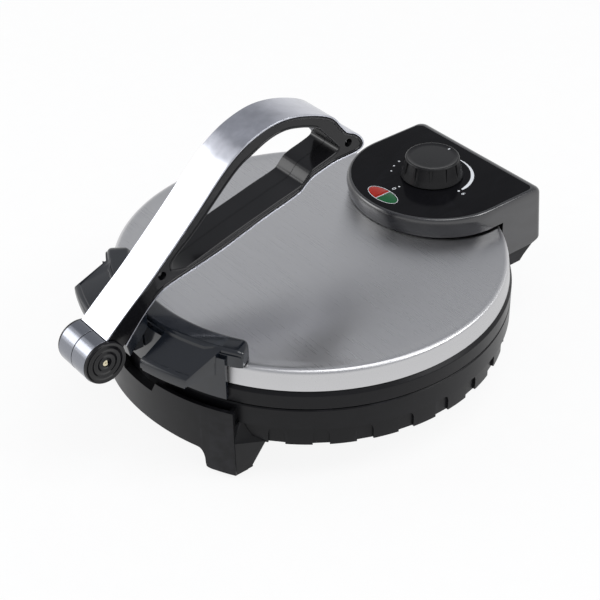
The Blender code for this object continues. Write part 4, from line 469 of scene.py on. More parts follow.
# Looks of metal: colour, roughness and what departs from the usual
METAL_LOOKS = {
    "brushed_steel": {
        "colour": (0.56, 0.56, 0.57), "roughness": 0.29, "lines": (0.012, 1.0, 1.0), "line_scale": 1800.0,
        "contrast": 0.025, "line_height": 0.0000001, "polish_span": 0.04, "smear": 0.88,
    },
    "polished_steel": {
        "colour": (0.50, 0.51, 0.56), "roughness": 0.20, "line_scale": 55.0, "line_height": 0.00002,
        "contrast": 0.16, "waves": 0.0006,
    },
    "chrome": {
        "colour": (0.25, 0.26, 0.29), "roughness": 0.18,
        "polish_span": 0.03, "contrast": 0.02, "waves": 0.0001,
    },
    "plain_steel": {"colour": (0.42, 0.42, 0.43), "roughness": 0.35},
    "brass": {"colour": (0.72, 0.66, 0.48), "roughness": 0.28, "line_scale": 400.0},
    "shield_steel": {"colour": (0.55, 0.55, 0.56), "roughness": 0.30},
    "element_steel": {"colour": (0.16, 0.15, 0.15), "roughness": 0.50},
}

# Finish of plastic: scales of its noise, and how far its tones spread
CLOUD_SCALE = 16.0
CLOUD_DETAIL = 5.0
SCUFF_SCALE = 120.0
SCUFF_DETAIL = 3.0
SCUFF_STRETCH = (1.0, 0.35, 1.0)
SCUFF_WEAR = (0.2, 1.0)
SCUFF_WEAR_SPAN = (0.4, 0.6)
GRAIN_DETAIL = 2.0
MOULDED_TONE_SHARES = (0.88, 1.14)
EDGE_POINTINESS = (0.51, 0.60)

# Finish of metal: its lines, smudges, rubbed edges and waves
STREAK_DETAIL = 3.0
STREAK_ROUGHNESS = 0.6
SMUDGE_SCALE = 11.0
SMUDGE_SPAN = (0.45, 0.75)
SMUDGE_TONE_SHARE = 0.6
RUBBED_SHARE = 0.5
RUBBED_SPAN = (0.2, 1.0)
RUBBED_TONE_SHARE = 1.15
WAVE_SCALE = 28.0
WAVE_DETAIL = 1.0
SMEAR_DIRECTION = (0.0, 1.0, 0.0)

# Camera fitted to the photograph, counted from the plates' axis at the lid's rim
CAMERA_TURN_DEG = 52.35
CAMERA_RISE_DEG = 35.93
CAMERA_ROLL_DEG = -1.19
CAMERA_SENSOR_MM = 36.0
CAMERA_LENS_MM = 91.39
CAMERA_SPOT = (0.6959, -0.5469, 0.5971)
CAMERA_NEAR = 0.01
CAMERA_FAR = 100.0

# Studio: colour of the surroundings by the sine of the height over the horizon
SKY_STOPS = (
    (0.0, (1.0, 1.0, 1.0)),
    (0.24, (0.90, 0.90, 0.91)),
    (0.55, (0.48, 0.49, 0.51)),
    (0.80, (0.42, 0.43, 0.46)),
    (1.0, (0.50, 0.51, 0.54)),
)
FLOOR_REACH = 3.0
FLOOR_LIFT_SHARE = 0.88
FLOOR_GRAIN_SCALE = 60.0
FLOOR_GRAIN_DETAIL = 3.0
FLOOR_ROUGHNESS = (0.75, 0.85)
FLOOR_COLOURS = ((0.90, 0.90, 0.90, 1.0), (0.94, 0.94, 0.94, 1.0))
FLOOR_GLOSS = 0.1

# Area lights: name, direction, distance, width, height, watts
SOFTBOXES = (
    ("left_softbox", (-0.64, -0.615, 0.447), 1.5, 0.8, 0.6, 4.2),
    ("left_fill", (-0.64, -0.615, 0.447), 1.6, 1.4, 1.2, 4.0),
    ("right_softbox", (0.586, 0.495, 0.639), 1.5, 0.6, 0.5, 5.5),
    ("top_softbox", (0.3, 0.1, 1.0), 1.6, 0.9, 0.9, 7.0),
)


# Mesh tools

def mesh_from(name, points, faces):
    """A closed mesh whose faces point out."""
    mesh = bpy.data.meshes.new(name)
    work = bmesh.new()
    corners = [work.verts.new(point) for point in points]
    for face in faces:
        work.faces.new([corners[index] for index in face])
    bmesh.ops.recalc_face_normals(work, faces=work.faces)
    work.to_mesh(mesh)
    work.free()
    return mesh


def ring_faces(start, count, next_start):
    """Quads between two closed rings of points."""
    return [
        (start + i, start + (i + 1) % count, next_start + (i + 1) % count, next_start + i)
        for i in range(count)
    ]


def lofted(name, rings):
    """Solid through closed rings of equal length, with flat ends."""
    count = len(rings[0])
    points = [point for ring in rings for point in ring]
    faces = []
    for level in range(len(rings) - 1):
        faces += ring_faces(level * count, count, (level + 1) * count)
    faces.append(tuple(range(count)))
    faces.append(tuple(range((len(rings) - 1) * count, len(rings) * count)))
    return mesh_from(name, points, faces)


def turned(name, profile, sides, centre=(0.0, 0.0)):
    """Solid of revolution about a vertical axis, from a closed profile of (radius, height)."""
    points = []
    starts = []
    for radius, height in profile:
        starts.append(len(points))
        ring = circle(radius, sides, *centre) if radius > 0 else [centre]
        points += [(x, y, height) for x, y in ring]
    faces = []
    for k, (radius, _) in enumerate(profile):
        after = (k + 1) % len(profile)
        next_radius = profile[after][0]
        if radius > 0 and next_radius > 0:
            faces += ring_faces(starts[k], sides, starts[after])
        elif radius > 0 or next_radius > 0:
            tip, rim = (k, after) if radius <= 0 else (after, k)
            faces += [(starts[tip], starts[rim] + i, starts[rim] + (i + 1) % sides) for i in range(sides)]
    return mesh_from(name, points, faces)


def swept(name, angles, section):
    """Solid swept round the plates' axis: section(angle) gives closed (radius, height) points."""
    rings = [[(*from_front(radius, turn), z) for radius, z in section(turn)] for turn in angles]
    return lofted(name, rings)


def extruded_x(name, outline, low, high):
    """Solid between two planes square to X, from closed (y, z) points."""
    return lofted(name, [[(x, y, z) for y, z in outline] for x in (low, high)])


def extruded_z(name, outline, low, high):
    """Solid between two heights, from closed (x, y) points."""
    return lofted(name, [[(x, y, z) for x, y in outline] for z in (low, high)])


def block(name, low, high):
    """Rectangular block between two corners."""
    outline = [(low[0], low[1]), (high[0], low[1]), (high[0], high[1]), (low[0], high[1])]
    return extruded_z(name, outline, low[2], high[2])


def rod_z(name, radius, low, high, x, y):
    """Round rod along Z."""
    return extruded_z(name, circle(radius, SMALL_SIDES, x, y), low, high)


def arc(radius, turns, u=0.0, v=0.0):
    """Points of a circle in the given directions."""
    return [(u + radius * math.cos(turn), v + radius * math.sin(turn)) for turn in turns]


def circle(radius, sides, u=0.0, v=0.0):
    """Closed points of a circle."""
    return arc(radius, [math.tau * i / sides for i in range(sides)], u, v)


def from_front(radius, angle):
    """Place at a radius round the plates' axis, at an angle from the front towards +X."""
    return (radius * math.sin(angle), -radius * math.cos(angle))


def mirrored(side, low, high):
    """A span on the right-hand side, or the same span on the left-hand side."""
    return (low, high) if side > 0 else (-high, -low)


def spread(low, high, steps):
    """Evenly spaced values, both ends included."""
    return [low + (high - low) * i / steps for i in range(steps + 1)]


def smooth_curve(points, steps):
    """Points on a smooth curve through an open row of (u, v) points."""
    padded = [points[0], *points, points[-1]]
    curve = []
    for k in range(1, len(padded) - 2):
        before, start, end, after = (Vector(padded[k + i]) for i in (-1, 0, 1, 2))
        for i in range(steps):
            t = i / steps
            pull = (end - before) * t + (2 * before - 5 * start + 4 * end - after) * t * t
            pull += (3 * start - 3 * end + after - before) * t * t * t
            curve.append(tuple(start + pull / 2))
    curve.append(tuple(points[-1]))
    return curve


def offset_inwards(points, distance):
    """Open row of points moved to its right-hand side by a distance."""
    moved = []
    for k, point in enumerate(points):
        before = Vector(points[max(k - 1, 0)])
        after = Vector(points[min(k + 1, len(points) - 1)])
        along = (after - before).normalized()
        moved.append((point[0] + along.y * distance, point[1] - along.x * distance))
    return moved


def aimed(place, direction):
    """Matrix that puts a shape drawn along +Z at a place, along a direction."""
    turn = Vector(direction).to_track_quat("Z", "Y").to_matrix().to_4x4()
    return Matrix.Translation(Vector(place)) @ turn


def separate_lofts(name, groups):
    """One mesh of separate bodies, each through two rings, used as a cutter."""
    points = []
    faces = []
    for low, high in groups:
        first = len(points)
        count = len(low)
        points += [*low, *high]
        faces += ring_faces(first, count, first + count)
        faces.append(tuple(range(first, first + count)))
        faces.append(tuple(range(first + count, first + 2 * count)))
    return mesh_from(name, points, faces)


# Forms of the solids

def ring_section():
    """Closed section of the base ring: thick upper ring, thinner lower wall and the plate's seat flange."""
    inner_ring = RING_RADIUS - HOUSING_WALL
    inner_wall = WALL_RADIUS - HOUSING_WALL
    flange_z = SEAM_Z - FLANGE_THICKNESS
    return [
        (PLATE_WELL_RADIUS, SEAM_Z),
        (RING_RADIUS - RING_EDGE, SEAM_Z),
        (RING_RADIUS, SEAM_Z - RING_EDGE),
        (RING_RADIUS, LEDGE_Z + RING_EDGE),
        (WALL_RADIUS, LEDGE_Z),
        (WALL_RADIUS, GROUND_CLEARANCE),
        (inner_wall, GROUND_CLEARANCE),
        (inner_wall, LEDGE_Z),
        (inner_ring, LEDGE_Z + RING_STEP),
        (inner_ring, flange_z),
        (PLATE_WELL_RADIUS, flange_z),
    ]


def arch_height(angle):
    """Height of the apron's lower edge above the floor: a low arch with a rounded corner at each leg."""
    reach = abs(math.degrees(angle))
    if reach <= ARCH_HALF_ANGLE_DEG:
        return ARCH_HEIGHT + ARCH_CROWN * math.cos(math.pi / 2 * reach / ARCH_HALF_ANGLE_DEG)
    share = ARCH_CORNER_DEG_SHARES[-1][1]
    for corner_deg, corner_share in reversed(ARCH_CORNER_DEG_SHARES):
        if reach <= corner_deg + FINE_ANGLE_DEG:
            share = corner_share
    return LEG_FOOT_Z + (ARCH_HEIGHT - LEG_FOOT_Z) * share


def apron_section(angle):
    """Section of the apron: outer wall with a lip above the web that ties it to the ring."""
    foot = arch_height(angle)
    top = SEAM_Z - APRON_TOP_DROP
    web_top = top - APRON_LIP
    web_foot = web_top - APRON_WALL
    inner = APRON_RADIUS - APRON_WALL
    root = RING_RADIUS - JOIN_OVERLAP
    return [
        (APRON_RADIUS, foot),
        (APRON_RADIUS, top),
        (inner, top),
        (inner, web_top),
        (root, web_top),
        (root, web_foot),
        (inner, web_foot),
        (inner, foot),
    ]


def apron_angles():
    """Directions of the apron's sections, closer together where the arch turns down into a leg."""
    arch = math.radians(ARCH_HALF_ANGLE_DEG)
    right = [math.radians(corner_deg) for corner_deg, _ in ARCH_CORNER_DEG_SHARES]
    right += spread(right[-1], math.radians(APRON_HALF_ANGLE_DEG), APRON_END_STEPS)[1:]
    return [-angle for angle in reversed(right)] + spread(-arch, arch, APRON_STEPS) + right


def apron_end(side):
    """Wall between the apron's end and the ring, above the web."""
    ends = APRON_END_ANGLES_DEG
    root = RING_RADIUS - JOIN_OVERLAP
    outer = APRON_RADIUS - APRON_WALL / 2
    corners = [(root, ends[0]), (outer, ends[0]), (outer, ends[1]), (root, ends[1])]
    plan = [from_front(radius, side * math.radians(turn)) for radius, turn in corners]
    top = SEAM_Z - APRON_TOP_DROP - SEAT_GAP
    return extruded_z("apron_end", plan, top - APRON_LIP - APRON_WALL / 2, top)


def apron_slot():
    """Slot in the apron's top edge, narrower at its floor."""
    foot = SLOT_FOOT_HALF_WIDTH
    top = SLOT_TOP_HALF_WIDTH
    floor_z = SEAM_Z - APRON_TOP_DROP - SLOT_DEPTH
    outline = [(-foot, floor_z), (foot, floor_z), (top, SEAM_Z), (-top, SEAM_Z)]
    ends = (-APRON_RADIUS - CUT_OVERRUN, -RING_RADIUS - PARTING_GAP)
    return lofted("slot", [[(x, y, z) for x, z in outline] for y in ends])


def inside_form():
    """Room for the bottom cover inside the wall, cut out of the legs' heads."""
    radius = WALL_RADIUS - HOUSING_WALL - SEAT_GAP / 3
    low = COVER_Z - SEAT_GAP
    high = LEDGE_Z + RING_STEP
    return turned("inside", [(0, low), (radius, low), (radius, high), (0, high)], LARGE_SIDES)


def leg_ring(side, start_deg, z, wall_deg):
    """Plan of a front leg at one height; with wall_deg, its side runs back to the ring's wall there."""
    radius = APRON_RADIUS - APRON_WALL / 2
    end = math.radians(APRON_HALF_ANGLE_DEG - FINE_ANGLE_DEG)
    turns = spread(math.radians(start_deg), end, LEG_STEPS)
    plan = [from_front(radius, side * turn) for turn in turns]
    if wall_deg is None:
        corner = (plan[-1][0], -radius * math.cos(end) + LEG_DEPTH)
    else:
        corner = from_front(WALL_RADIUS + SEAT_GAP, side * math.radians(wall_deg))
    return [(x, y, z) for x, y in [*plan, corner, (plan[0][0], corner[1])]]


def front_leg(side):
    """Front leg behind the apron's end, its side flaring back to the ring's wall."""
    top_z = SEAM_Z - APRON_TOP_DROP - APRON_LIP - APRON_WALL / 2
    levels = (
        (LEG_FOOT_ANGLE_DEG, LEG_FOOT_Z, None),
        (LEG_HEAD_ANGLE_DEG, LEG_FOOT_Z + LEG_FOOT_ROUND, None),
        (LEG_HEAD_ANGLE_DEG, GROUND_CLEARANCE + JOIN_OVERLAP, LEG_FLARE_ANGLE_DEG),
        (LEG_HEAD_ANGLE_DEG, COVER_Z + JOIN_OVERLAP, LEG_WALL_ANGLE_DEG),
        (LEG_HEAD_ANGLE_DEG, top_z, LEG_TOP_ANGLE_DEG),
    )
    return lofted("front_leg", [leg_ring(side, *level) for level in levels])


def rear_leg_ring(side, inset, z):
    """Plan of a rear leg at one height: a radial block that grows out of the ring's wall."""
    angle = math.radians(REAR_LEG_ANGLE_DEG)
    out = Vector((side * math.sin(angle), -math.cos(angle), 0))
    across = Vector((-out.y, out.x, 0))
    half = REAR_LEG_WIDTH / 2 - inset
    inner = REAR_LEG_INNER_RADIUS + inset
    outer = WALL_RADIUS - JOIN_OVERLAP / 2 - inset
    corners = ((inner, -half), (outer, -half), (outer, half), (inner, half))
    return [tuple(out * radius + across * offset + Vector((0, 0, z))) for radius, offset in corners]


def rear_leg(side):
    """Rear leg, drawn in towards its foot."""
    levels = (
        (REAR_LEG_TAPER, LEG_FOOT_Z),
        (0, GROUND_CLEARANCE - REAR_LEG_TAPER),
        (0, COVER_Z - SEAT_GAP),
    )
    return lofted("rear_leg", [rear_leg_ring(side, *level) for level in levels])


def rear_block():
    """Block outside the ring that carries the hinge: upright at the top, slanting in below."""
    root = RING_RADIUS - JOIN_OVERLAP
    half = REAR_BLOCK_HALF_WIDTH
    end = math.asin(half / root)
    wall = [(root * math.sin(turn), root * math.cos(turn)) for turn in spread(-end, end, REAR_BLOCK_STEPS)]
    rings = []
    for drop_share, reach_share in REAR_BLOCK_SHARES:
        z = SEAM_Z - SEAT_GAP - REAR_BLOCK_HEIGHT * drop_share
        reach = RING_RADIUS + REAR_BLOCK_TOP_REACH * reach_share
        rings.append([(x, y, z) for x, y in [*wall, (half, reach), (-half, reach)]])
    return lofted("rear_block", rings)


def vent_notch(angle):
    """Round-topped notch in the wall's outer face, open at its lower edge."""
    half = VENT_WIDTH / 2
    low = GROUND_CLEARANCE - CUT_OVERRUN
    shoulder = GROUND_CLEARANCE + VENT_HEIGHT - half
    outline = [(-half, low), (half, low)]
    outline += arc(half, spread(0, math.pi, VENT_ARC_STEPS), 0, shoulder)
    across = Vector((math.cos(angle), math.sin(angle), 0))
    out = Vector((math.sin(angle), -math.cos(angle), 0))
    return [
        [tuple(out * radius + across * u + Vector((0, 0, z))) for u, z in outline]
        for radius in (WALL_RADIUS - VENT_DEPTH, WALL_RADIUS + CUT_OVERRUN)
    ]


def vent_angles():
    """Directions of the notches, counted from the front, on both sides."""
    count = round((VENT_LAST_DEG - VENT_FIRST_DEG) / VENT_STEP_DEG)
    angles = [math.radians(VENT_FIRST_DEG + VENT_STEP_DEG * i) for i in range(count + 1)]
    return angles + [-angle for angle in angles]


def knuckle_spans(start, end, margin=0.0):
    """The two spans along X of a pair of hinge knuckles."""
    return [(-end - margin, -start + margin), (start - margin, end + margin)]


def hinge_rod(name, radius, low, high):
    """Round rod on the hinge's axis."""
    return extruded_x(name, circle(radius, SMALL_SIDES, HINGE_Y, HINGE_Z), low, high)


def hinge_bore():
    """Hole for the hinge pin."""
    reach = HINGE_PIN_HALF_LENGTH + CUT_OVERRUN
    return hinge_rod("bore", HINGE_PIN_RADIUS + RUN_GAP, -reach, reach)


def plate_section(face_z, back_z, outward):
    """Half section of a cooking plate: flat face, thick lip behind the seat flange, boss at its back.

    outward is -1 for the lower plate, whose back faces down, and +1 for the upper one.
    """
    lip_radius = PLATE_RADIUS + PLATE_LIP_WIDTH
    lip_z = back_z - outward * PLATE_LIP_THICKNESS
    return [
        (0, face_z),
        (PLATE_RADIUS - PLATE_EDGE, face_z),
        (PLATE_RADIUS, face_z + outward * PLATE_EDGE),
        (PLATE_RADIUS, lip_z),
        (lip_radius, lip_z),
        (lip_radius, back_z),
        (PLATE_BOSS_RADIUS * 2, back_z),
        (PLATE_BOSS_RADIUS, back_z + outward * PLATE_BOSS_HEIGHT),
        (0, back_z + outward * PLATE_BOSS_HEIGHT),
    ]


def skirt_section():
    """Closed section of the black ring under the band, with the plate's flange and the cover's tongue."""
    tongue_outer = BAND_RADIUS - LID_SHEET - BAND_DRAFT / 2 - SEAT_GAP
    tongue_inner = tongue_outer - SKIRT_TONGUE_WIDTH
    tongue_top = SKIRT_TOP_Z + SKIRT_TONGUE_HEIGHT
    flange_top = LID_FOOT_Z + FLANGE_THICKNESS
    return [
        (PLATE_WELL_RADIUS, LID_FOOT_Z),
        (RING_RADIUS - RING_EDGE, LID_FOOT_Z),
        (RING_RADIUS, LID_FOOT_Z + RING_EDGE),
        (RING_RADIUS, SKIRT_TOP_Z - SKIRT_CHAMFER),
        (RING_RADIUS - SKIRT_CHAMFER, SKIRT_TOP_Z),
        (tongue_outer, SKIRT_TOP_Z),
        (tongue_outer, tongue_top),
        (tongue_inner, tongue_top),
        (tongue_inner, flange_top),
        (PLATE_WELL_RADIUS, flange_top),
    ]


def grip_screw_hole(side):
    """Round hole up through the cover into the grip."""
    place = from_front(GRIP_SCREW_CIRCLE, side * math.radians(GRIP_SCREW_ANGLE_DEG))
    high = GRIP_SCREW_Z + GRIP_SCREW_LENGTH + SEAT_GAP
    return rod_z("hole", SCREW_SHANK_RADIUS + RUN_GAP, GRIP_SCREW_Z - CUT_OVERRUN, high, *place)


def d_outline(half_width, front, rear_y):
    """Closed D-shaped plan: straight sides and back, half-elliptic front towards the handle."""
    corner = HOUSING_REAR_CORNER
    points = []
    for side in (1, -1):
        turns = spread(0, math.pi / 2, HOUSING_CORNER_STEPS)
        for turn in turns if side > 0 else reversed(turns):
            x = half_width - corner + corner * math.cos(turn)
            points.append((side * x, rear_y - corner + corner * math.sin(turn)))
    for turn in spread(0, math.pi, HOUSING_ARC_SIDES):
        points.append((-half_width * math.cos(turn), PANEL_CENTRE_Y - front * math.sin(turn)))
    return points


def d_loft(name, levels):
    """Solid through D-shaped plans given as (height, half width, front, rear)."""
    return lofted(name, [[(x, y, z) for x, y in d_outline(*plan)] for z, *plan in levels])


def rear_corner():
    """Wedge off the housing's lower rear edge, so that it clears the base as the lid opens."""
    half = PANEL_HALF_WIDTH + BEVEL_REACH + HOUSING_SIDE_FLARE + CUT_OVERRUN
    rear = HOUSING_REAR_REACH + CUT_OVERRUN
    low = LID_FOOT_Z - CUT_OVERRUN
    outline = [
        (HINGE_Y - KNUCKLE_RADIUS, low),
        (HINGE_Y - KNUCKLE_RADIUS, LID_FOOT_Z),
        (HINGE_Y, HINGE_Z),
        (rear, LID_FOOT_Z + HOUSING_CORNER_RISE),
        (rear, low),
    ]
    return extruded_x("rear_corner", outline, -half, half)


def leaf_arc(margin, start, sweep, steps):
    """Points along the lamps' oval outline."""
    length = LEAF_HALF_LENGTH + margin
    width = LEAF_HALF_WIDTH + margin
    turns = spread(start, start + sweep, steps)
    return [(LEAF_X + length * math.cos(turn), LEAF_Y + width * math.sin(turn)) for turn in turns]


def lamp_outline(side, margin):
    """One half of the leaf: rounded outer end, straight inner edge beside the split."""
    start = -math.pi / 2 if side > 0 else math.pi / 2
    points = leaf_arc(margin, start, math.pi, LEAF_STEPS)
    edge = LEAF_X + side * (LEAF_SPLIT / 2 - margin)
    return [(edge, points[0][1]), *points[1:-1], (edge, points[-1][1])]


def grip_end_round(angle):
    """How far the block has drawn in at its rounded ends, from 0 to 1."""
    end = math.radians(GRIP_HALF_ANGLE_DEG)
    start = end - GRIP_END_LENGTH / GRIP_OUTER_RADIUS
    reach = min(max((abs(angle) - start) / (end - start), 0.0), 1.0)
    return 1 - math.sqrt(1 - reach * reach * GRIP_END_SHARE)


def grip_wall_section(_angle):
    """Closed section of the wall that reaches down over the band and the skirt, the same all along."""
    foot = LID_FOOT_Z + GRIP_WALL_FOOT
    inner = RING_RADIUS + SEAT_GAP
    return [
        (inner, foot),
        (inner, RIM_Z + GRIP_RISE / 2),
        (GRIP_WALL_RADIUS, RIM_Z + WING_ROOT_RISE - GRIP_EDGE),
        (GRIP_WALL_RADIUS, foot),
    ]


def wing_top(radius):
    """Height of a wing's top face, which falls away from the lid."""
    share = (radius - GRIP_WALL_RADIUS) / (WING_REACH_RADIUS - GRIP_WALL_RADIUS)
    return RIM_Z + WING_ROOT_RISE + (WING_TIP_RISE - WING_ROOT_RISE) * share


def wing_lip_section(_angle):
    """Closed section of the turned-down lip along a wing's front edge, the same all along."""
    outer = WING_REACH_RADIUS - WING_EDGE / 2
    inner = outer - WING_RIB_WIDTH
    top = wing_top(outer) - WING_THICKNESS / 2
    return [(inner, top), (outer, top), (outer, top - WING_LIP_DEPTH), (inner, top - WING_LIP_DEPTH)]


def wing_rib(side):
    """Gusset along a wing's outer side, deeper towards the grip's wall."""
    high = WING_OUTER_X - WING_EDGE / 2
    low = high - WING_RIB_WIDTH
    root = GRIP_WALL_RADIUS - JOIN_OVERLAP / 2
    tip = WING_REACH_RADIUS - WING_EDGE
    half = WING_THICKNESS / 2
    outline = []
    for radius, drop in ((root, half), (tip, half), (tip, WING_RIB_TIP_DEPTH), (root, WING_RIB_ROOT_DEPTH)):
        outline.append((-math.sqrt(radius * radius - WING_OUTER_X * WING_OUTER_X), wing_top(radius) - drop))
    return extruded_x("wing_rib", outline, *mirrored(side, low, high))


def wing_lip_angles(side):
    """Directions along a wing's curved front edge, without its very ends."""
    inner = math.radians(WING_INNER_ANGLE_DEG) + WING_EDGE / WING_REACH_RADIUS
    corner = math.asin((WING_OUTER_X - WING_EDGE) / WING_REACH_RADIUS)
    return [side * angle for angle in spread(inner, corner, WING_STEPS)]


def from_barrel(y, z):
    """Side-view point counted from the barrel's axis."""
    return (BARREL_Y + y, BARREL_Z + z)


def bracket_face():
    """Distance from the barrel's axis back to the grip's wall, where the bracket is fixed."""
    return -BARREL_Y - GRIP_WALL_RADIUS - SEAT_GAP


def side_view(name, points, low, high):
    """Solid between two planes square to X, from closed points counted from the barrel's axis."""
    return extruded_x(name, [from_barrel(*point) for point in points], low, high)


def handle_point(share):
    """Side-view point of the handle, from shares of its length and height."""
    return (share[0] * HANDLE_LENGTH, share[1] * HANDLE_HEIGHT)


def handle_curve():
    """Outer side view of the handle from the barrel's top over the hump and tail to the barrel's rear."""
    return smooth_curve([handle_point(share) for share in STRAP_OUTLINE_SHARES], HANDLE_CURVE_STEPS)


def closed_curve(shares, steps):
    """Smooth closed side-view outline from shares of the handle's size."""
    points = [handle_point(share) for share in shares]
    curve = smooth_curve([points[-1], *points, points[0]], steps)
    return curve[steps:-steps - 1]


def frame_outline():
    """Side view of the frame inside the strap, closed inside the barrel's core."""
    outline = offset_inwards(handle_curve(), STRAP_THICKNESS + SEAT_GAP)
    return outline + arc(CORE_RADIUS, [math.radians(ARM_FOOT_DEG)]) + [(0, 0)]


def pipe_sector(turns, outer, inner):
    """Closed section of part of a pipe round the barrel's axis."""
    return arc(outer, turns) + arc(inner, turns[::-1])


def tongue_path():
    """Sector of the sleeves' seam that the pivot tongue passes through as the handle swings."""
    start = math.radians(SLEEVE_SLOT_START_DEG)
    end = math.radians(SLEEVE_END_DEG) + CUT_OVERRUN / BARREL_RADIUS
    turns = spread(start, end, SLEEVE_SLOT_STEPS)
    outline = pipe_sector(turns, BARREL_RADIUS + CUT_OVERRUN, BARREL_RADIUS - SLEEVE_WALL - CUT_OVERRUN)
    return side_view("tongue_path", outline, -BARREL_SEAM / 2, BARREL_SEAM / 2)


# Building finer pieces

def added(name, data):
    """New object of some data, in the scene."""
    item = bpy.data.objects.new(name, data)
    bpy.context.scene.collection.objects.link(item)
    return item


def finished_mesh(item):
    """The mesh that an object has with its modifiers."""
    graph = bpy.context.evaluated_depsgraph_get()
    return bpy.data.meshes.new_from_object(item.evaluated_get(graph), depsgraph=graph)


def combined(mesh, steps):
    """A mesh after a row of (operation, mesh) steps."""
    body = added("work", mesh)
    helpers = [body]
    for operation, tool_mesh in steps:
        modifier = body.modifiers.new(operation.lower(), "BOOLEAN")
        modifier.operation = operation
        modifier.solver = "EXACT"
        modifier.object = added("tool", tool_mesh)
        helpers.append(modifier.object)
    result = finished_mesh(body)
    for helper in helpers:
        bpy.data.objects.remove(helper)
    return result


def cuts(*meshes):
    """Steps that take meshes away."""
    return [("DIFFERENCE", mesh) for mesh in meshes]


def joins(*meshes):
    """Steps that add meshes."""
    return [("UNION", mesh) for mesh in meshes]


def soften(piece, width):
    """Rounds the sharp edges of an object with a modifier."""
    modifier = piece.modifiers.new("edges", "BEVEL")
    modifier.width = width
    modifier.segments = ROUNDING_SEGMENTS
    modifier.limit_method = "ANGLE"
    modifier.angle_limit = math.radians(SHARP_ANGLE_DEG)
    return modifier


def place_piece(name, mesh, body, slot, materials, rounding=None):
    """Adds a piece to the scene: it rides on a body and takes a look's material."""
    mesh.name = name
    mesh.transform(Matrix.Translation((0, AXIS_Y, 0)))
    mesh.materials.clear()
    mesh.materials.append(materials[slot])
    piece = added(name, mesh)
    mesh.shade_smooth()
    if rounding is None:
        mesh.set_sharp_from_angle(angle=math.radians(SHARP_ANGLE_DEG))
    else:
        soften(piece, rounding).harden_normals = True
    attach(piece, body)
    return piece


def dress(node, mesh, body, slot, materials, rounding=None):
    """Adds a piece that stands for the solid of a node."""
    piece = place_piece(node + "_look", mesh, body, slot, materials, rounding)
    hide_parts(node)


def joined_mesh(name, meshes):
    """One mesh of several loose bodies."""
    work = bmesh.new()
    for mesh in meshes:
        work.from_mesh(mesh)
    result = bpy.data.meshes.new(name)
    work.to_mesh(result)
    work.free()
    return result


def corner_round(radius, start, u, v):
    """Points along a quarter of a circle in a section."""
    return arc(radius, spread(start, start + math.pi / 2, CORNER_STEPS), u, v)


def bead_ring(before, point, after):
    """Closed ring of a round bead at a point of its path, which lies in a plane square to X."""
    level = Vector((1, 0, 0))
    out = (Vector(after) - Vector(before)).normalized().cross(level)
    return [tuple(Vector(point) + level * u + out * v) for u, v in circle(RIM_BEAD_RADIUS, RIM_BEAD_SIDES)]


def closed_bead(path):
    """Round bead along a closed path of (x, y, z) points."""
    count = len(path)
    rings = [bead_ring(path[k - 1], point, path[(k + 1) % count]) for k, point in enumerate(path)]
    faces = []
    for k in range(count):
        faces += ring_faces(k * RIM_BEAD_SIDES, RIM_BEAD_SIDES, (k + 1) % count * RIM_BEAD_SIDES)
    return mesh_from("rim", [point for ring in rings for point in ring], faces)


def open_bead(path):
    """Round bead along an open path, with flat ends."""
    padded = [path[0], *path, path[-1]]
    return lofted("rim", [bead_ring(*padded[k:k + 3]) for k in range(len(path))])


def band_mesh(name, outer, inner, low, high):
    """Flat closed band between two outlines with as many points each."""
    count = len(outer)
    points = [(x, y, z) for z in (low, high) for ring in (outer, inner) for x, y in ring]
    faces = []
    for start, after in ((0, count), (count, 3 * count), (3 * count, 2 * count), (2 * count, 0)):
        faces += ring_faces(start, count, after)
    return mesh_from(name, points, faces)


# Base and lid

def build_base_look(materials):
    """Base housing with finer curves and softened edges."""
    base = turned("base", ring_section(), LARGE_SIDES)
    steps = cuts(separate_lofts("vents", [vent_notch(angle) for angle in vent_angles()]))
    steps += joins(swept("apron", apron_angles(), apron_section)) + cuts(apron_slot())
    for side in (-1, 1):
        steps += joins(front_leg(side), apron_end(side))
    steps += cuts(inside_form())
    for side in (-1, 1):
        steps += joins(rear_leg(side))
    low = COVER_Z + COVER_THICKNESS + SEAT_GAP
    for angle_deg in COVER_SCREW_ANGLES_DEG:
        place = from_front(COVER_SCREW_CIRCLE, math.radians(angle_deg))
        radius = SCREW_SHANK_RADIUS + RUN_GAP
        steps += joins(rod_z("boss", SCREW_BOSS_RADIUS, low, low + SCREW_BOSS_HEIGHT, *place))
        steps += cuts(rod_z("boss_hole", radius, low - CUT_OVERRUN, low + SCREW_SHANK_LENGTH, *place))
    steps += joins(rear_block())
    for low, high in knuckle_spans(BASE_KNUCKLE_START, BASE_KNUCKLE_END):
        steps += joins(hinge_rod("knuckle", KNUCKLE_RADIUS, low, high))
    for low, high in knuckle_spans(LID_KNUCKLE_START, LID_KNUCKLE_END, RUN_GAP):
        steps += cuts(hinge_rod("groove", KNUCKLE_RADIUS + 2 * RUN_GAP, low, high))
    mesh = combined(base, steps + cuts(hinge_bore()))
    dress("base_housing", mesh, "base", "black_plastic", materials, BASE_ROUNDING)


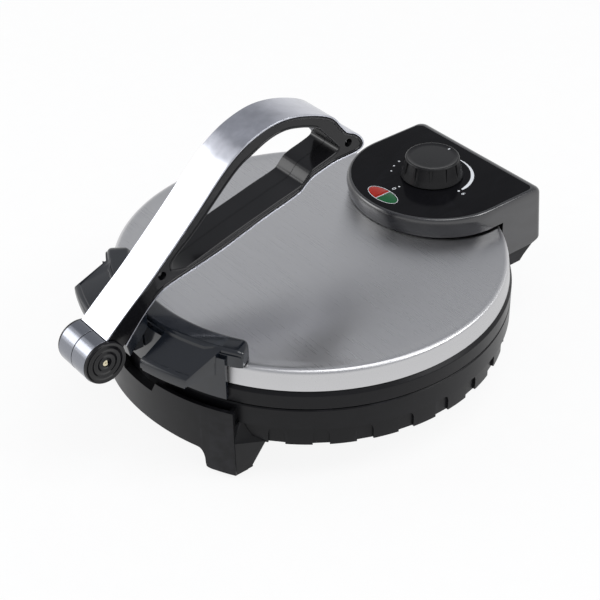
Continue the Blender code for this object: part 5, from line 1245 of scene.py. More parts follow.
def cover_profile():
    """Section of the steel cover: band, rolled corner, shallow dish inside the rim, slight dome."""
    side = BAND_RADIUS - BAND_DRAFT
    corner_r = side - LID_CORNER
    corner_z = RIM_Z - LID_CORNER
    outer = [(BAND_RADIUS - LID_SHEET / 2, BAND_FOOT_Z), (BAND_RADIUS, BAND_FOOT_Z + LID_SHEET / 2)]
    outer += corner_round(LID_CORNER, 0, corner_r, corner_z)
    flat = corner_r - RIM_DISH_WIDTH
    dish_z = RIM_Z - RIM_DISH_DEPTH
    for share in RIM_DISH_SHARES:
        drop = RIM_DISH_DEPTH * (1 - math.cos(math.pi * share)) / 2
        outer.append((corner_r - RIM_DISH_WIDTH * share, RIM_Z - drop))
    for share in DOME_SHARES:
        outer.append((flat * share, dish_z + (DOME_TOP_Z - RIM_Z) * (1 - share * share)))
    return [
        *outer,
        (0, DOME_TOP_Z),
        (0, DOME_TOP_Z - LID_SHEET),
        (flat, dish_z - LID_SHEET),
        (corner_r, RIM_Z - LID_SHEET),
        (side - LID_SHEET, corner_z),
        (BAND_RADIUS - LID_SHEET, BAND_FOOT_Z),
    ]


def build_lid_look(materials):
    """Steel cover and the black skirt under its band."""
    cover = turned("cover", cover_profile(), LARGE_SIDES)
    hole = circle(LID_HOLE_RADIUS, MEDIUM_SIDES, 0, PANEL_CENTRE_Y)
    holes = [extruded_z("hole", hole, RIM_Z - LID_CORNER, BEAD_TOP_Z + CUT_OVERRUN)]
    holes += [grip_screw_hole(side) for side in (-1, 1)]
    mesh = combined(cover, cuts(*holes))
    dress("lid_cover", mesh, "lid", "brushed_steel", materials)
    skirt = turned("skirt", skirt_section(), LARGE_SIDES)
    dress("lid_skirt", skirt, "lid", "black_plastic", materials, SMALL_ROUNDING)


def build_plates_look(materials):
    """Cooking plates with finer curves and softened edges."""
    lower = turned("plate", plate_section(LOWER_FACE_Z, LOWER_PLATE_BACK_Z, -1), LARGE_SIDES)
    dress("lower_plate", lower, "base", "non_stick", materials, SMALL_ROUNDING)
    upper = turned("plate", plate_section(UPPER_FACE_Z, UPPER_PLATE_BACK_Z, 1), LARGE_SIDES)
    dress("upper_plate", upper, "lid", "non_stick", materials, SMALL_ROUNDING)


# Control housing, panel and lamps

def housing_look_mesh():
    """Outer form of the control housing with a rolled rim between its sides and its top."""
    bevel = PANEL_HALF_WIDTH + BEVEL_REACH
    bevel_front = PANEL_FRONT_DEPTH + BEVEL_REACH
    flared = bevel + HOUSING_SIDE_FLARE
    tucked = bevel_front - HOUSING_FOOT_TUCK
    bevel_z = PANEL_TOP_Z - BEVEL_DROP
    rear_top = HOUSING_REAR_REACH - HOUSING_REAR_DRAFT
    share = (HOUSING_FOOT_Z - LID_FOOT_Z) / (bevel_z - LID_FOOT_Z)
    middle = flared - HOUSING_SIDE_FLARE * share
    levels = [
        (LID_FOOT_Z, flared, tucked, HOUSING_REAR_REACH),
        (HOUSING_FOOT_Z, middle, tucked, HOUSING_REAR_REACH - HOUSING_REAR_DRAFT * share),
        (bevel_z, bevel, bevel_front, rear_top),
    ]
    rear_roll = rear_top - PANEL_REAR_Y - PANEL_RIM
    side_roll = BEVEL_REACH - PANEL_RIM
    for turn_deg in HOUSING_RIM_TURNS_DEG:
        turn = math.radians(turn_deg)
        inwards = 1 - math.cos(turn)
        z = bevel_z + BEVEL_DROP * math.sin(turn)
        side_inset = side_roll * inwards
        levels.append((z, bevel - side_inset, bevel_front - side_inset, rear_top - rear_roll * inwards))
    top_plan = (PANEL_HALF_WIDTH + PANEL_RIM, PANEL_FRONT_DEPTH + PANEL_RIM, PANEL_REAR_Y + PANEL_RIM)
    levels.append((PANEL_TOP_Z, *top_plan))
    return d_loft("control_housing", levels)


def bushing_hole(low, high):
    """Round hole under the knob."""
    return rod_z("bushing_hole", BUSHING_RADIUS + RUN_GAP, low, high, 0, PANEL_CENTRE_Y)


def build_housing_look(materials):
    """Black housing with a smooth D plan, a rolled rim and rounded rear corners."""
    skirt = RING_RADIUS + HOUSING_RING_GAP
    band = BAND_RADIUS + HOUSING_RING_GAP
    step = SKIRT_TOP_Z + SEAT_GAP
    low = LID_FOOT_Z - CUT_OVERRUN
    lid_form = [(0, HOUSING_FOOT_Z), (band, HOUSING_FOOT_Z), (band, step)]
    lid_form += [(skirt, step), (skirt, low), (0, low)]
    inner = [PANEL_HALF_WIDTH - HOUSING_ROOF, PANEL_FRONT_DEPTH - HOUSING_ROOF]
    inner += [PANEL_REAR_Y - 3 * HOUSING_ROOF]
    recess = (PANEL_HALF_WIDTH, PANEL_FRONT_DEPTH, PANEL_REAR_Y)
    roof = (ROOF_UNDERSIDE_Z - CUT_OVERRUN, PANEL_SEAT_Z + CUT_OVERRUN)
    notch = BASE_KNUCKLE_END + RUN_GAP
    notch_radius = KNUCKLE_RADIUS + 3 * RUN_GAP
    notch_low = (-notch, HINGE_Y - notch_radius, low)
    notch_high = (notch, HOUSING_REAR_REACH + CUT_OVERRUN, HINGE_Z + notch_radius)
    steps = cuts(
        turned("lid_form", lid_form, LARGE_SIDES),
        d_loft("cavity", [(HOUSING_FOOT_Z - CUT_OVERRUN, *inner), (ROOF_UNDERSIDE_Z, *inner)]),
        d_loft("recess", [(PANEL_SEAT_Z, *recess), (PANEL_TOP_Z + CUT_OVERRUN, *recess)]),
        bushing_hole(*roof),
        extruded_z("lamp_window", leaf_arc(2 * RUN_GAP, 0, math.tau, WINDOW_STEPS)[:-1], *roof),
        block("hinge_notch", notch_low, notch_high),
        rear_corner(),
    )
    for start, end in knuckle_spans(LID_KNUCKLE_START, LID_KNUCKLE_END):
        steps += joins(hinge_rod("knuckle", KNUCKLE_RADIUS, start, end))
    mesh = combined(housing_look_mesh(), steps + cuts(hinge_bore()))
    dress("control_housing", mesh, "lid", "housing_plastic", materials, HOUSING_ROUNDING)


def build_panel_look(materials):
    """Glossy panel with a softened edge."""
    plan = (PANEL_HALF_WIDTH - RUN_GAP, PANEL_FRONT_DEPTH - RUN_GAP, PANEL_REAR_Y - RUN_GAP)
    panel = d_loft("panel", [(PANEL_SEAT_Z + SEAT_GAP, *plan), (PANEL_TOP_Z, *plan)])
    span = (PANEL_SEAT_Z - CUT_OVERRUN, PANEL_TOP_Z + CUT_OVERRUN)
    steps = cuts(bushing_hole(*span))
    for side in (-1, 1):
        steps += cuts(extruded_z("lamp_hole", lamp_outline(side, RUN_GAP), *span))
    dress("control_panel", combined(panel, steps), "lid", "gloss_black", materials, PANEL_ROUNDING)


def dial_place(radius, turn_deg):
    """Place on the panel, at a radius and a direction from the knob's axis."""
    turn = math.radians(turn_deg)
    return (radius * math.cos(turn), PANEL_CENTRE_Y + radius * math.sin(turn))


def dial_arc():
    """Tapering arc beside the knob, as two outlines with as many points."""
    outer = []
    inner = []
    for share in spread(0, 1, DIAL_ARC_STEPS):
        growth = DIAL_ARC_THIN_SHARE + 2 * share * (1 - share / 2)
        half = DIAL_ARC_WIDTH / 2 * min(1.0, growth, DIAL_ARC_END_SLOPE * (DIAL_ARC_END_SHARE - share))
        turn_deg = DIAL_ARC_START_DEG + (DIAL_ARC_END_DEG - DIAL_ARC_START_DEG) * share
        outer.append(dial_place(DIAL_RADIUS + half, turn_deg))
        inner.append(dial_place(DIAL_RADIUS - half, turn_deg))
    return outer + inner[::-1]


def dial_number(text, place):
    """Small plain number, turned into a mesh."""
    curve = bpy.data.curves.new("number", "FONT")
    curve.body = text
    curve.size = DIAL_NUMBER_SIZE
    curve.extrude = MARK_THICKNESS / 2
    curve.align_x = "CENTER"
    curve.align_y = "CENTER"
    maker = added("number", curve)
    mesh = finished_mesh(maker)
    bpy.data.objects.remove(maker)
    mesh.transform(Matrix.Translation((*place, PANEL_TOP_Z + MARK_THICKNESS / 2)))
    return mesh


def build_dial_marks(materials):
    """White print round the knob: growing dots, a tapering arc and a number at each end."""
    low = PANEL_TOP_Z
    high = PANEL_TOP_Z + MARK_THICKNESS
    meshes = [extruded_z("arc", dial_arc(), low, high)]
    for k, turn_deg in enumerate(DIAL_DOTS_DEG):
        radius = DIAL_DOT_RADIUS * (1 + k * DIAL_DOT_GROWTH_SHARE)
        meshes.append(rod_z("dot", radius, low, high, *dial_place(DIAL_RADIUS, turn_deg)))
    for text, turn_deg in (("0", DIAL_DOTS_DEG[0]), ("6", DIAL_END_DOT_DEG)):
        meshes.append(dial_number(text, dial_place(DIAL_NUMBER_RADIUS, turn_deg)))
    end_radius = DIAL_DOT_RADIUS * DIAL_END_DOT_SHARE
    meshes.append(rod_z("dot", end_radius, low, high, *dial_place(DIAL_RADIUS, DIAL_END_DOT_DEG)))
    place_piece("dial_marks", joined_mesh("dial_marks", meshes), "lid", "white_print", materials)


def build_lamp_looks(materials):
    """Domed red and green lenses, each in a thin white outline."""
    outlines = []
    levels = (
        (0, ROOF_UNDERSIDE_Z),
        (0, PANEL_TOP_Z),
        (-LENS_EDGE / 3, PANEL_TOP_Z + LAMP_PROUD * 2 / 3),
        (-LENS_EDGE, PANEL_TOP_Z + LAMP_PROUD),
    )
    for side, name, slot in ((-1, "red_lamp", "red_lens"), (1, "green_lamp", "green_lens")):
        rings = [[(x, y, z) for x, y in lamp_outline(side, margin)] for margin, z in levels]
        dress(name, lofted(name, rings), "lid", slot, materials)
        inner = lamp_outline(side, RUN_GAP)
        outer = lamp_outline(side, RUN_GAP + LAMP_LINE_WIDTH)
        outlines.append(band_mesh("outline", outer, inner, PANEL_TOP_Z, PANEL_TOP_Z + MARK_THICKNESS))
    place_piece("lamp_outlines", joined_mesh("lamp_outlines", outlines), "lid", "white_print", materials)


# Knob

def knob_look_profile():
    """Section of the knob: rounded foot, leaning skirt, rolled rim and a dished top."""
    foot = KNOB_FOOT_Z
    top = foot + KNOB_HEIGHT
    bore = SHAFT_RADIUS + RUN_GAP
    bore_top = foot + SHAFT_IN_KNOB + SEAT_GAP
    hollow_top = foot + KNOB_HOLLOW_DEPTH
    boss = 2 * BUSHING_RADIUS
    profile = [
        (bore, foot + KNOB_EDGE),
        (boss, foot + KNOB_EDGE),
        (boss, hollow_top),
        (KNOB_HOLLOW_RADIUS, hollow_top),
        (KNOB_HOLLOW_RADIUS, foot),
        (KNOB_RADIUS - KNOB_EDGE / 2, foot),
        (KNOB_RADIUS, foot + KNOB_EDGE / 2),
    ]
    for share, inset in KNOB_SKIRT_SHARES:
        profile.append((KNOB_RADIUS - (KNOB_RADIUS - KNOB_TOP_RADIUS) * inset, foot + KNOB_HEIGHT * share))
    centre_r = KNOB_TOP_RADIUS - KNOB_EDGE
    dish_z = top - KNOB_DISH
    profile += corner_round(KNOB_EDGE, 0, centre_r, top - KNOB_EDGE)
    profile += [(centre_r - KNOB_RIM_WIDTH, dish_z), (centre_r - 3 * KNOB_RIM_WIDTH, dish_z)]
    return [*profile, (0, top - KNOB_DISH / 2), (0, bore_top), (bore, bore_top)]


def knob_wedge(angle):
    """Upright notch in the knob's skirt, wide at the top and running out downwards."""
    out = Vector((math.cos(angle), math.sin(angle), 0))
    across = Vector((-out.y, out.x, 0))
    middle = Vector((0, PANEL_CENTRE_Y, 0))
    rings = []
    for height_share, width_share, depth_share in KNOB_NOTCH_SHARES:
        z = KNOB_FOOT_Z + KNOB_HEIGHT * height_share
        surface = KNOB_RADIUS - (KNOB_RADIUS - KNOB_TOP_RADIUS) * height_share
        half = KNOB_SLOT_WIDTH / 2 * width_share
        depth = KNOB_SLOT_DEPTH * depth_share
        corners = ((-CUT_OVERRUN, -half), (-CUT_OVERRUN, half), (depth, half / 2), (depth, -half / 2))
        ring = []
        for inset, offset in corners:
            ring.append(tuple(middle + out * (surface - inset) + across * offset + Vector((0, 0, z))))
        rings.append(ring)
    return lofted("notch", rings)


def build_knob_look(materials):
    """Knob with notches round its skirt and a white pointer."""
    mesh = turned("knob", knob_look_profile(), LARGE_SIDES, (0, PANEL_CENTRE_Y))
    angles = [math.tau * (k + 0.5) / KNOB_SLOTS for k in range(KNOB_SLOTS)]
    mesh = combined(mesh, cuts(*[knob_wedge(angle) for angle in angles]))
    dress("thermostat_knob", mesh, "knob", "knob_plastic", materials)
    half = POINTER_WIDTH / 2
    start = PANEL_CENTRE_Y + KNOB_TOP_RADIUS - KNOB_EDGE - POINTER_LENGTH
    top = KNOB_FOOT_Z + KNOB_HEIGHT - KNOB_DISH
    low = (-half, start, top - MARK_THICKNESS)
    pointer = block("pointer", low, (half, start + POINTER_LENGTH, top + MARK_THICKNESS))
    place_piece("knob_pointer", pointer, "knob", "white_print", materials)


# Front grip

def grip_look_section(angle):
    """Closed section of the grip's block with rounded upper edges."""
    round_in = grip_end_round(angle)
    width = GRIP_OUTER_RADIUS - GRIP_INNER_RADIUS
    inner = GRIP_INNER_RADIUS + width / 2 * round_in
    outer = GRIP_OUTER_RADIUS + GRIP_EDGE * (1 - round_in)
    top = RIM_Z + GRIP_RISE - GRIP_EDGE * 2 * round_in
    foot = BEAD_TOP_Z + SEAT_GAP
    big = GRIP_TOP_ROUND
    section = [(outer, foot), (outer - GRIP_EDGE / 3, top - big)]
    section += corner_round(big, 0, outer - GRIP_EDGE - big, top - big)
    section += corner_round(big, math.pi / 2, inner + big, top - big)
    return [*section, (inner, foot)]


def grip_look_angles():
    """Directions of the block's sections, close together at its rounded ends."""
    half = math.radians(GRIP_HALF_ANGLE_DEG)
    start = half - GRIP_END_LENGTH / GRIP_OUTER_RADIUS
    end = [start + (half - start) * math.sin(t) for t in spread(0, math.pi / 2, GRIP_END_STEPS)][1:]
    return [-a for a in reversed(end)] + spread(-start, start, GRIP_STEPS) + end


def wing_look_top(radius):
    """Height of a wing's top, which falls away from the upper edge of the grip's block."""
    share = (radius - GRIP_OUTER_RADIUS) / (WING_REACH_RADIUS - GRIP_OUTER_RADIUS)
    return RIM_Z + WING_LOOK_ROOT_RISE + (WING_TIP_RISE - WING_LOOK_ROOT_RISE) * share


def wing_look_angles(side):
    """Directions of a wing's sections, to where its side meets the grip's block."""
    inner = math.radians(WING_INNER_ANGLE_DEG)
    corner = math.asin(WING_OUTER_X / WING_REACH_RADIUS)
    last = math.asin(WING_OUTER_X / (GRIP_OUTER_RADIUS + JOIN_OVERLAP))
    angles = spread(inner, corner, WING_STEPS) + spread(corner, last, WING_SIDE_LOOK_STEPS)[1:]
    return [side * angle for angle in angles]


def wing_look_section(angle):
    """Closed section of a wing: bead at its root, dished top, bead along its edge, upright front."""
    root = GRIP_OUTER_RADIUS - 3 * JOIN_OVERLAP
    tip = min(WING_REACH_RADIUS, WING_OUTER_X / math.sin(abs(angle)))
    depth = tip - root
    relief = WING_DISH * depth / (WING_REACH_RADIUS - root)
    section = []
    for share, raise_share in WING_TOP_SHARES:
        radius = root + depth * share
        section.append((radius, wing_look_top(radius) - relief + relief * raise_share))
    section.append((tip, wing_look_top(tip) - WING_EDGE))
    return section + [(radius, wing_top(radius) - WING_THICKNESS) for radius in (tip, root)]


def build_grip_look(materials):
    """Grip block, wall and wings, with beads and rounded edges."""
    block_mesh = swept("grip", grip_look_angles(), grip_look_section)
    wall = math.radians(GRIP_WALL_HALF_ANGLE_DEG)
    steps = joins(swept("wall", spread(-wall, wall, GRIP_WALL_STEPS), grip_wall_section))
    for side in (-1, 1):
        steps += joins(swept("wing", wing_look_angles(side), wing_look_section))
        steps += joins(swept("lip", wing_lip_angles(side), wing_lip_section), wing_rib(side))
        steps += cuts(grip_screw_hole(side))
    dress("front_grip", combined(block_mesh, steps), "lid", "grip_plastic", materials, GRIP_ROUNDING)


# Bracket and handle

def build_bracket_look(materials):
    """Glossy bracket with softened edges, and the web under it."""
    rear = bracket_face()
    low = Vector(handle_point(STRAP_OUTLINE_SHARES[-1]))
    high = Vector(handle_point(STRAP_OUTLINE_SHARES[-2]))
    along = (high - low).normalized()
    down = Vector((along.y, -along.x))
    start = low + down * BRACKET_STRAP_GAP
    end = high + down * BRACKET_STRAP_GAP
    foot = start + Vector((BRACKET_FRONT_LEAN, -BRACKET_PLATE - BRACKET_FRONT_LEAN))
    lower_rear = foot + along * (rear - foot.x) / along.x
    plate = [start, end, Vector((rear, end.y)), lower_rear, foot]
    half = BRACKET_HALF_WIDTH
    mesh = side_view("bracket", plate, -half, half)
    middle = (start + end) / 2
    web = [
        foot + (start - foot) / 3,
        middle,
        Vector((rear, middle.y)),
        Vector((rear, -BRACKET_WEB_DROP)),
        Vector((foot.x + BRACKET_PLATE, -BRACKET_WEB_DROP)),
        foot + along * BRACKET_FRONT_LEAN,
    ]
    web_half = BRACKET_WEB_HALF_WIDTH
    slot = TONGUE_THICKNESS / 2 + RUN_GAP
    slot_low = (-slot, BARREL_Y, BARREL_Z - TONGUE_DROP - RUN_GAP)
    slot_high = (slot, BARREL_Y + TONGUE_REACH + SEAT_GAP, BARREL_Z + TONGUE_TOP + RUN_GAP)
    steps = joins(side_view("web", web, -web_half, web_half))
    steps += cuts(block("tongue_slot", slot_low, slot_high))
    dress("handle_bracket", combined(mesh, steps), "lid", "grip_plastic", materials, SMALL_ROUNDING)


def build_strap_look(materials):
    """Polished strap with smooth bends and rounded edges."""
    outer = handle_curve()
    outline = outer + offset_inwards(outer, STRAP_THICKNESS)[::-1]
    mesh = side_view("strap", outline, -HANDLE_HALF_WIDTH, HANDLE_HALF_WIDTH)
    dress("handle_strap", mesh, "handle", "polished_steel", materials, STRAP_ROUNDING)


def frame_screw_hole(side, share):
    """Hole of a cross screw: a seat for its head in the right half, a short bore in the left half."""
    y, z = from_barrel(*handle_point(share))
    radius = SCREW_SHANK_RADIUS + RUN_GAP
    steps = [(-HANDLE_SCREW_REACH - SEAT_GAP, radius), (CUT_OVERRUN, radius)]
    if side > 0:
        seat = HANDLE_SCREW_SEAT_RADIUS
        floor = HANDLE_HALF_WIDTH - HANDLE_SCREW_SEAT_DEPTH
        end = HANDLE_HALF_WIDTH + CUT_OVERRUN
        steps = [(-CUT_OVERRUN, radius), (floor, radius), (floor, seat), (end, seat)]
    rings = [[(x, v, w) for v, w in circle(width, SMALL_SIDES, y, z)] for x, width in steps]
    return lofted("screw_hole", rings)


def build_frame_look(side, word, materials):
    """Half of the frame: sunk web, opening, round core in the barrel, and its holes."""
    through = mirrored(side, -CUT_OVERRUN, HANDLE_HALF_WIDTH + CUT_OVERRUN)
    near = mirrored(side, -CUT_OVERRUN, BARREL_SEAM / 2)
    core = mirrored(side, BARREL_SEAM / 2, HANDLE_HALF_WIDTH)
    web = mirrored(side, FRAME_SEAM / 2, HANDLE_HALF_WIDTH - FRAME_SUNK)
    steps = cuts(side_view("opening", closed_curve(OPENING_OUTLINE_SHARES, OPENING_STEPS), *through))
    steps += joins(side_view("core", circle(CORE_RADIUS, MEDIUM_SIDES), *core))
    steps += cuts(
        side_view("tongue_gap", circle(CORE_RADIUS + 2 * RUN_GAP, MEDIUM_SIDES), *near),
        side_view("pin_bore", circle(PIN_RADIUS + RUN_GAP, SMALL_SIDES), *through),
        *[frame_screw_hole(side, share) for share in (FRONT_SCREW_SHARE, REAR_SCREW_SHARE)],
    )
    mesh = combined(side_view("frame", frame_outline(), *web), steps)
    dress("handle_frame_" + word, mesh, "handle", "frame_plastic", materials, FRAME_ROUNDING)


def build_frame_rims(side, word, materials):
    """Raised rims of the frame along its edge and round its opening, the same moulding as its web."""
    x = side * (HANDLE_HALF_WIDTH - RIM_BEAD_RADIUS)
    opening = closed_curve(OPENING_OUTLINE_SHARES, OPENING_STEPS)
    around = offset_inwards([*opening, opening[0]], -RIM_BEAD_RADIUS)[:-1]
    inset = STRAP_THICKNESS + SEAT_GAP + RIM_BEAD_RADIUS
    edge = offset_inwards(handle_curve(), inset)[RIM_TRIM_STEPS:-RIM_TRIM_STEPS]
    meshes = [closed_bead([(x, *from_barrel(*point)) for point in around])]
    meshes.append(open_bead([(x, *from_barrel(*point)) for point in edge]))
    place_piece("frame_rims_" + word, joined_mesh("rims", meshes), "handle", "frame_plastic", materials)


def cap_look_profile():
    """Section of an end cap with rounded rings on its face."""
    edge = BARREL_RADIUS - SEAT_GAP
    hole = END_SCREW_RADIUS + RUN_GAP
    profile = [(hole, 0), (edge, 0), (edge, CAP_THICKNESS - 2 * CAP_RING_HEIGHT)]
    for share in spread(0, 1, CAP_RING_COUNT * CAP_RING_STEPS):
        radius = edge - CAP_RING_HEIGHT - (edge - CAP_RING_HEIGHT - hole) * share
        wave = (1 + math.cos(math.tau * CAP_RING_COUNT * share)) / 2
        profile.append((radius, CAP_THICKNESS - CAP_RING_HEIGHT * (1 - wave)))
    return profile


def pin_end():
    """D-shaped end of the pin with a small hollow, drawn round its own axis."""
    flat = math.radians(PIN_FLAT_DEG)
    outline = arc(END_SCREW_RADIUS, spread(flat, math.tau - flat, SMALL_SIDES))
    top = SEAT_GAP + CAP_THICKNESS - CAP_RING_HEIGHT
    dot = rod_z("dot", END_SCREW_RADIUS / 4, top / 2, top + CUT_OVERRUN, 0, 0)
    return combined(extruded_z("pin_end", outline, 0, top), cuts(dot))


def build_barrel_look(side, word, materials):
    """Chrome sleeve, ringed cap and D-shaped brass end of the pin, at one end of the barrel."""
    turns = spread(math.radians(SLEEVE_START_DEG), math.radians(SLEEVE_END_DEG), MEDIUM_SIDES)
    outline = pipe_sector(turns, BARREL_RADIUS, BARREL_RADIUS - SLEEVE_WALL)
    sleeve = side_view("sleeve", outline, *mirrored(side, SLEEVE_SEAM / 2, HANDLE_HALF_WIDTH))
    sleeve = combined(sleeve, cuts(tongue_path()))
    dress("barrel_sleeve_" + word, sleeve, "handle", "chrome", materials, SMALL_ROUNDING)
    cap = turned("cap", cap_look_profile(), MEDIUM_SIDES)
    cap.transform(aimed((side * (HANDLE_HALF_WIDTH + SEAT_GAP), BARREL_Y, BARREL_Z), (side, 0, 0)))
    dress("barrel_cap_" + word, cap, "handle", "frame_plastic", materials)
    end = pin_end()
    end.transform(aimed((side * HANDLE_HALF_WIDTH, BARREL_Y, BARREL_Z), (side, 0, 0)))
    dress("pivot_screw_" + word, end, "handle", "brass", materials, PIN_ROUNDING)


def soften_nodes():
    """Softens the edges of the solids that stay in view."""
    soften(nodes["bottom_cover"], SMALL_ROUNDING)
    for place in ("front_left", "front_right", "rear_left", "rear_right"):
        soften(nodes["foot_pad_" + place], SMALL_ROUNDING)


# Materials

class Graph:
    """Builds a material's nodes from left to right."""

    def __init__(self, name):
        self.material = bpy.data.materials.new(name)
        self.material.use_nodes = True
        self.tree = self.material.node_tree
        self.shader = self.tree.nodes["Principled BSDF"]
        self.place = self.add("ShaderNodeTexCoord").outputs["Object"]

    def add(self, kind, **settings):
        node = self.tree.nodes.new(kind)
        for key, value in settings.items():
            setattr(node, key, value)
        return node

    def link(self, output, target):
        self.tree.links.new(output, target)

    def noise(self, scale, detail, roughness=0.55, stretch=(1.0, 1.0, 1.0)):
        """Noise over the object's own coordinates, stretched by a factor along each axis."""
        mapping = self.fill(self.add("ShaderNodeMapping"), Scale=stretch, Vector=self.place)
        texture = self.fill(self.add("ShaderNodeTexNoise"), Scale=scale, Detail=detail, Roughness=roughness)
        self.link(mapping.outputs["Vector"], texture.inputs["Vector"])
        return texture.outputs["Fac"]

    def edges(self):
        """From 0 on flat areas to 1 along worn edges."""
        return self.ramp(self.add("ShaderNodeNewGeometry").outputs["Pointiness"], 0.0, 1.0, *EDGE_POINTINESS)

    def ramp(self, value, low, high, start=0.3, end=0.7):
        """A number that goes from low to high as value goes from start to end."""
        node = self.fill(self.add("ShaderNodeMapRange"), From_Min=start, From_Max=end, Value=value)
        return self.fill(node, To_Min=low, To_Max=high).outputs["Result"]

    def maths(self, operation, *values):
        """Sum, product or larger of two numbers or sockets."""
        node = self.add("ShaderNodeMath", operation=operation)
        for target, value in zip(node.inputs, values):
            self.give(value, target)
        return node.outputs[0]

    def give(self, value, target):
        """Links a socket to a target, or sets the target to a value."""
        if hasattr(value, "is_output"):
            self.link(value, target)
        else:
            target.default_value = value

    def fill(self, node, **values):
        """Gives values or sockets to a node's inputs, with _ in a name for each space."""
        for key, value in values.items():
            self.give(value, node.inputs[key.replace("_", " ")])
        return node

    def blend(self, value, first, second):
        """A colour between two colours or sockets, by value."""
        node = self.add("ShaderNodeMix", data_type="RGBA")
        return self.fill(node, A=first, B=second, Factor=value).outputs["Result"]

    def along(self, direction):
        """A direction of the object, turned with it."""
        node = self.add("ShaderNodeVectorTransform", convert_from="OBJECT", convert_to="WORLD")
        node.vector_type = "VECTOR"
        return self.fill(node, Vector=direction).outputs["Vector"]

    def bump(self, value, height, before=None):
        """Surface relief of a height in metres."""
        node = self.fill(self.add("ShaderNodeBump"), Strength=1.0, Distance=height, Height=value)
        if before is not None:
            self.link(before, node.inputs["Normal"])
        return node.outputs["Normal"]

    def set(self, **values):
        """Gives values or sockets to the shader's own inputs."""
        self.fill(self.shader, **values)


def shade(colour, factor):
    """A colour, lighter or darker, as a shader takes it."""
    return (*[min(channel * factor, 1.0) for channel in colour], 1.0)


def moulded(
    name,
    colour,
    roughness,
    grain=2600.0,
    grain_height=0.000006,
    polish_span=0.08,
    gloss=0.3,
    wear=1.6,
):
    """Moulded plastic or rubber: fine grain, cloudy changes of colour and polish, paler worn edges."""
    graph = Graph(name)
    clouds = graph.noise(CLOUD_SCALE, CLOUD_DETAIL)
    scuffs = graph.noise(SCUFF_SCALE, SCUFF_DETAIL, stretch=SCUFF_STRETCH)
    fine = graph.noise(grain, GRAIN_DETAIL)
    dark, light = (shade(colour, share) for share in MOULDED_TONE_SHARES)
    body = graph.blend(graph.ramp(clouds, 0.0, 1.0), dark, light)
    worn = graph.maths("MULTIPLY", graph.edges(), graph.ramp(scuffs, *SCUFF_WEAR, *SCUFF_WEAR_SPAN))
    graph.set(Base_Color=graph.blend(worn, body, shade(colour, wear)))
    polish = graph.ramp(clouds, roughness - polish_span / 2, roughness + polish_span / 2)
    graph.set(Roughness=graph.maths("ADD", polish, graph.ramp(scuffs, -polish_span / 4, polish_span / 4)))
    graph.set(Specular_IOR_Level=gloss, Normal=graph.bump(fine, grain_height))
    return graph.material


def metal(
    name,
    colour,
    roughness,
    lines=(1.0, 1.0, 1.0),
    line_scale=900.0,
    line_height=0.0000004,
    polish_span=0.08,
    contrast=0.05,
    waves=0.0,
    smear=0.0,
):
    """Metal with fine lines or grain in its polish, cloudy smudges and slow waves.

    A smear above zero draws its highlights out across lines that run along X.
    """
    graph = Graph(name)
    streaks = graph.noise(line_scale, STREAK_DETAIL, STREAK_ROUGHNESS, lines)
    clouds = graph.noise(SMUDGE_SCALE, CLOUD_DETAIL)
    dark = shade(colour, 1 - contrast)
    light = shade(colour, 1 + contrast)
    tone = graph.blend(graph.ramp(streaks, 0.0, 1.0), dark, light)
    smudge = graph.ramp(clouds, 0.0, contrast, *SMUDGE_SPAN)
    tone = graph.blend(smudge, tone, shade(colour, SMUDGE_TONE_SHARE))
    rubbed = graph.ramp(graph.edges(), 0.0, RUBBED_SHARE, *RUBBED_SPAN)
    graph.set(Base_Color=graph.blend(rubbed, tone, shade(colour, RUBBED_TONE_SHARE)))
    polish = graph.ramp(streaks, roughness - polish_span / 2, roughness + polish_span / 2)
    graph.set(Roughness=graph.maths("ADD", polish, graph.ramp(clouds, -polish_span / 4, polish_span / 4)))
    relief = graph.bump(streaks, line_height)
    if waves:
        relief = graph.bump(graph.noise(WAVE_SCALE, WAVE_DETAIL), waves, relief)
    if smear:
        graph.set(Anisotropic=smear, Tangent=graph.along(SMEAR_DIRECTION))
    graph.set(Metallic=1.0, Normal=relief)
    return graph.material


def make_materials():
    """All looks by name."""
    materials = {name: moulded(name, **look) for name, look in MOULDED_LOOKS.items()}
    for name, look in METAL_LOOKS.items():
        materials[name] = metal(name, **look)
    return materials


def paint_nodes(materials):
    """Gives every solid the material of its slot."""
    for entry in frame["record"]["subparts"]:
        node = nodes[entry["node"]]
        node.data.materials.clear()
        node.data.materials.append(materials[entry["material_slot"]])


# Camera, floor and light

def aim_camera():
    """Camera fitted to the photograph, above and to the right of the barrel."""
    turn = math.radians(CAMERA_TURN_DEG)
    rise = math.radians(CAMERA_RISE_DEG)
    roll = math.radians(CAMERA_ROLL_DEG)
    back = Vector((math.sin(turn) * math.cos(rise), -math.cos(turn) * math.cos(rise), math.sin(rise)))
    level = Vector((math.cos(turn), math.sin(turn), 0))
    upright = back.cross(level)
    right = level * math.cos(roll) + upright * math.sin(roll)
    up = upright * math.cos(roll) - level * math.sin(roll)
    data = bpy.data.cameras.new("camera")
    data.sensor_width = CAMERA_SENSOR_MM
    data.sensor_fit = "HORIZONTAL"
    data.lens = CAMERA_LENS_MM
    data.clip_start = CAMERA_NEAR
    data.clip_end = CAMERA_FAR
    camera = added("camera", data)
    spot = Vector(CAMERA_SPOT) + Vector((0, AXIS_Y, RIM_Z))
    rows = Matrix((right, up, back)).transposed().to_4x4()
    camera.matrix_world = Matrix.Translation(spot) @ rows
    bpy.context.scene.camera = camera


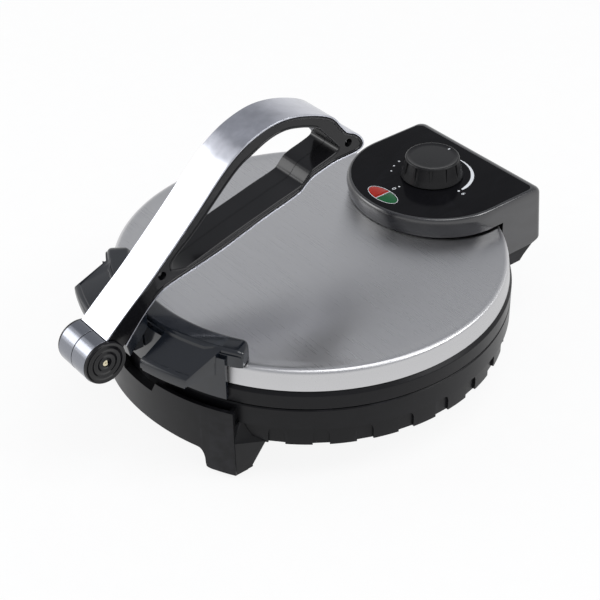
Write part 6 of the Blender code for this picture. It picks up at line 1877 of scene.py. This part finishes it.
def softbox(name, direction, distance, width, height, power):
    """Rectangular area light that looks at the middle of the object from a direction."""
    middle = Vector((0, 0, RIM_Z))
    data = bpy.data.lights.new(name, "AREA")
    data.shape = "RECTANGLE"
    data.size = width
    data.size_y = height
    data.energy = power
    lamp = added(name, data)
    lamp.location = middle + Vector(direction).normalized() * distance
    lamp.rotation_mode = "QUATERNION"
    lamp.rotation_quaternion = (middle - lamp.location).to_track_quat("-Z", "Y")


def light_path_mask(graph):
    """1 for rays from the camera and for rays seen in gloss or through glass, otherwise 0."""
    path = graph.add("ShaderNodeLightPath").outputs
    seen = graph.maths("MAXIMUM", path["Is Camera Ray"], path["Is Glossy Ray"])
    return graph.maths("MAXIMUM", seen, path["Is Transmission Ray"])


def make_world():
    """Pale studio: white at the horizon and greyer above it."""
    world = bpy.data.worlds.new("studio")
    bpy.context.scene.world = world
    world.use_nodes = True
    tree = world.node_tree
    tree.nodes.clear()
    output = tree.nodes.new("ShaderNodeOutputWorld")
    place = tree.nodes.new("ShaderNodeTexCoord")
    split = tree.nodes.new("ShaderNodeSeparateXYZ")
    height = tree.nodes.new("ShaderNodeValToRGB")
    soft = tree.nodes.new("ShaderNodeBackground")
    stops = height.color_ramp.elements
    for share, _ in SKY_STOPS[1:-1]:
        stops.new(share)
    for stop, (_, colour) in zip(stops, SKY_STOPS):
        stop.color = (*colour, 1.0)
    tree.links.new(place.outputs["Generated"], split.inputs["Vector"])
    tree.links.new(split.outputs["Z"], height.inputs["Fac"])
    tree.links.new(height.outputs["Color"], soft.inputs["Color"])
    tree.links.new(soft.outputs["Background"], output.inputs["Surface"])


def floor_material():
    """Pale matt floor, lifted to white for the camera while it keeps part of the object's shadow."""
    graph = Graph("floor_white")
    grain = graph.noise(FLOOR_GRAIN_SCALE, FLOOR_GRAIN_DETAIL)
    graph.set(Base_Color=graph.blend(graph.ramp(grain, 0.0, 1.0), *FLOOR_COLOURS))
    graph.set(Roughness=graph.ramp(grain, *FLOOR_ROUGHNESS), Specular_IOR_Level=FLOOR_GLOSS)
    glow = graph.fill(graph.add("ShaderNodeEmission"), Strength=1.0)
    mix = graph.add("ShaderNodeMixShader")
    graph.fill(mix, Fac=graph.maths("MULTIPLY", light_path_mask(graph), FLOOR_LIFT_SHARE))
    graph.link(graph.shader.outputs["BSDF"], mix.inputs[1])
    graph.link(glow.outputs["Emission"], mix.inputs[2])
    graph.link(mix.outputs["Shader"], graph.tree.nodes["Material Output"].inputs["Surface"])
    return graph.material


def make_floor():
    """Wide pale floor under the object, part of the stage."""
    mesh = bpy.data.meshes.new("floor")
    reach = FLOOR_REACH
    corners = [(-reach, -reach, 0), (reach, -reach, 0), (reach, reach, 0), (-reach, reach, 0)]
    mesh.from_pydata(corners, [], [(0, 1, 2, 3)])
    mesh.materials.append(floor_material())
    added("floor", mesh)


def main():
    """Dresses the solids, then sets up camera, floor and light."""
    materials = make_materials()
    paint_nodes(materials)
    builders = (
        build_base_look, build_lid_look, build_plates_look, build_housing_look, build_panel_look,
        build_dial_marks, build_lamp_looks, build_knob_look, build_grip_look, build_bracket_look,
        build_strap_look,
    )
    for build in builders:
        build(materials)
    for side, word in SIDES:
        build_frame_look(side, word, materials)
        build_frame_rims(side, word, materials)
    for side, word in SIDES:
        build_barrel_look(side, word, materials)
    soften_nodes()
    aim_camera()
    make_world()
    make_floor()
    for lamp in SOFTBOXES:
        softbox(*lamp)
    bpy.context.scene.view_settings.view_transform = "Standard"


main()
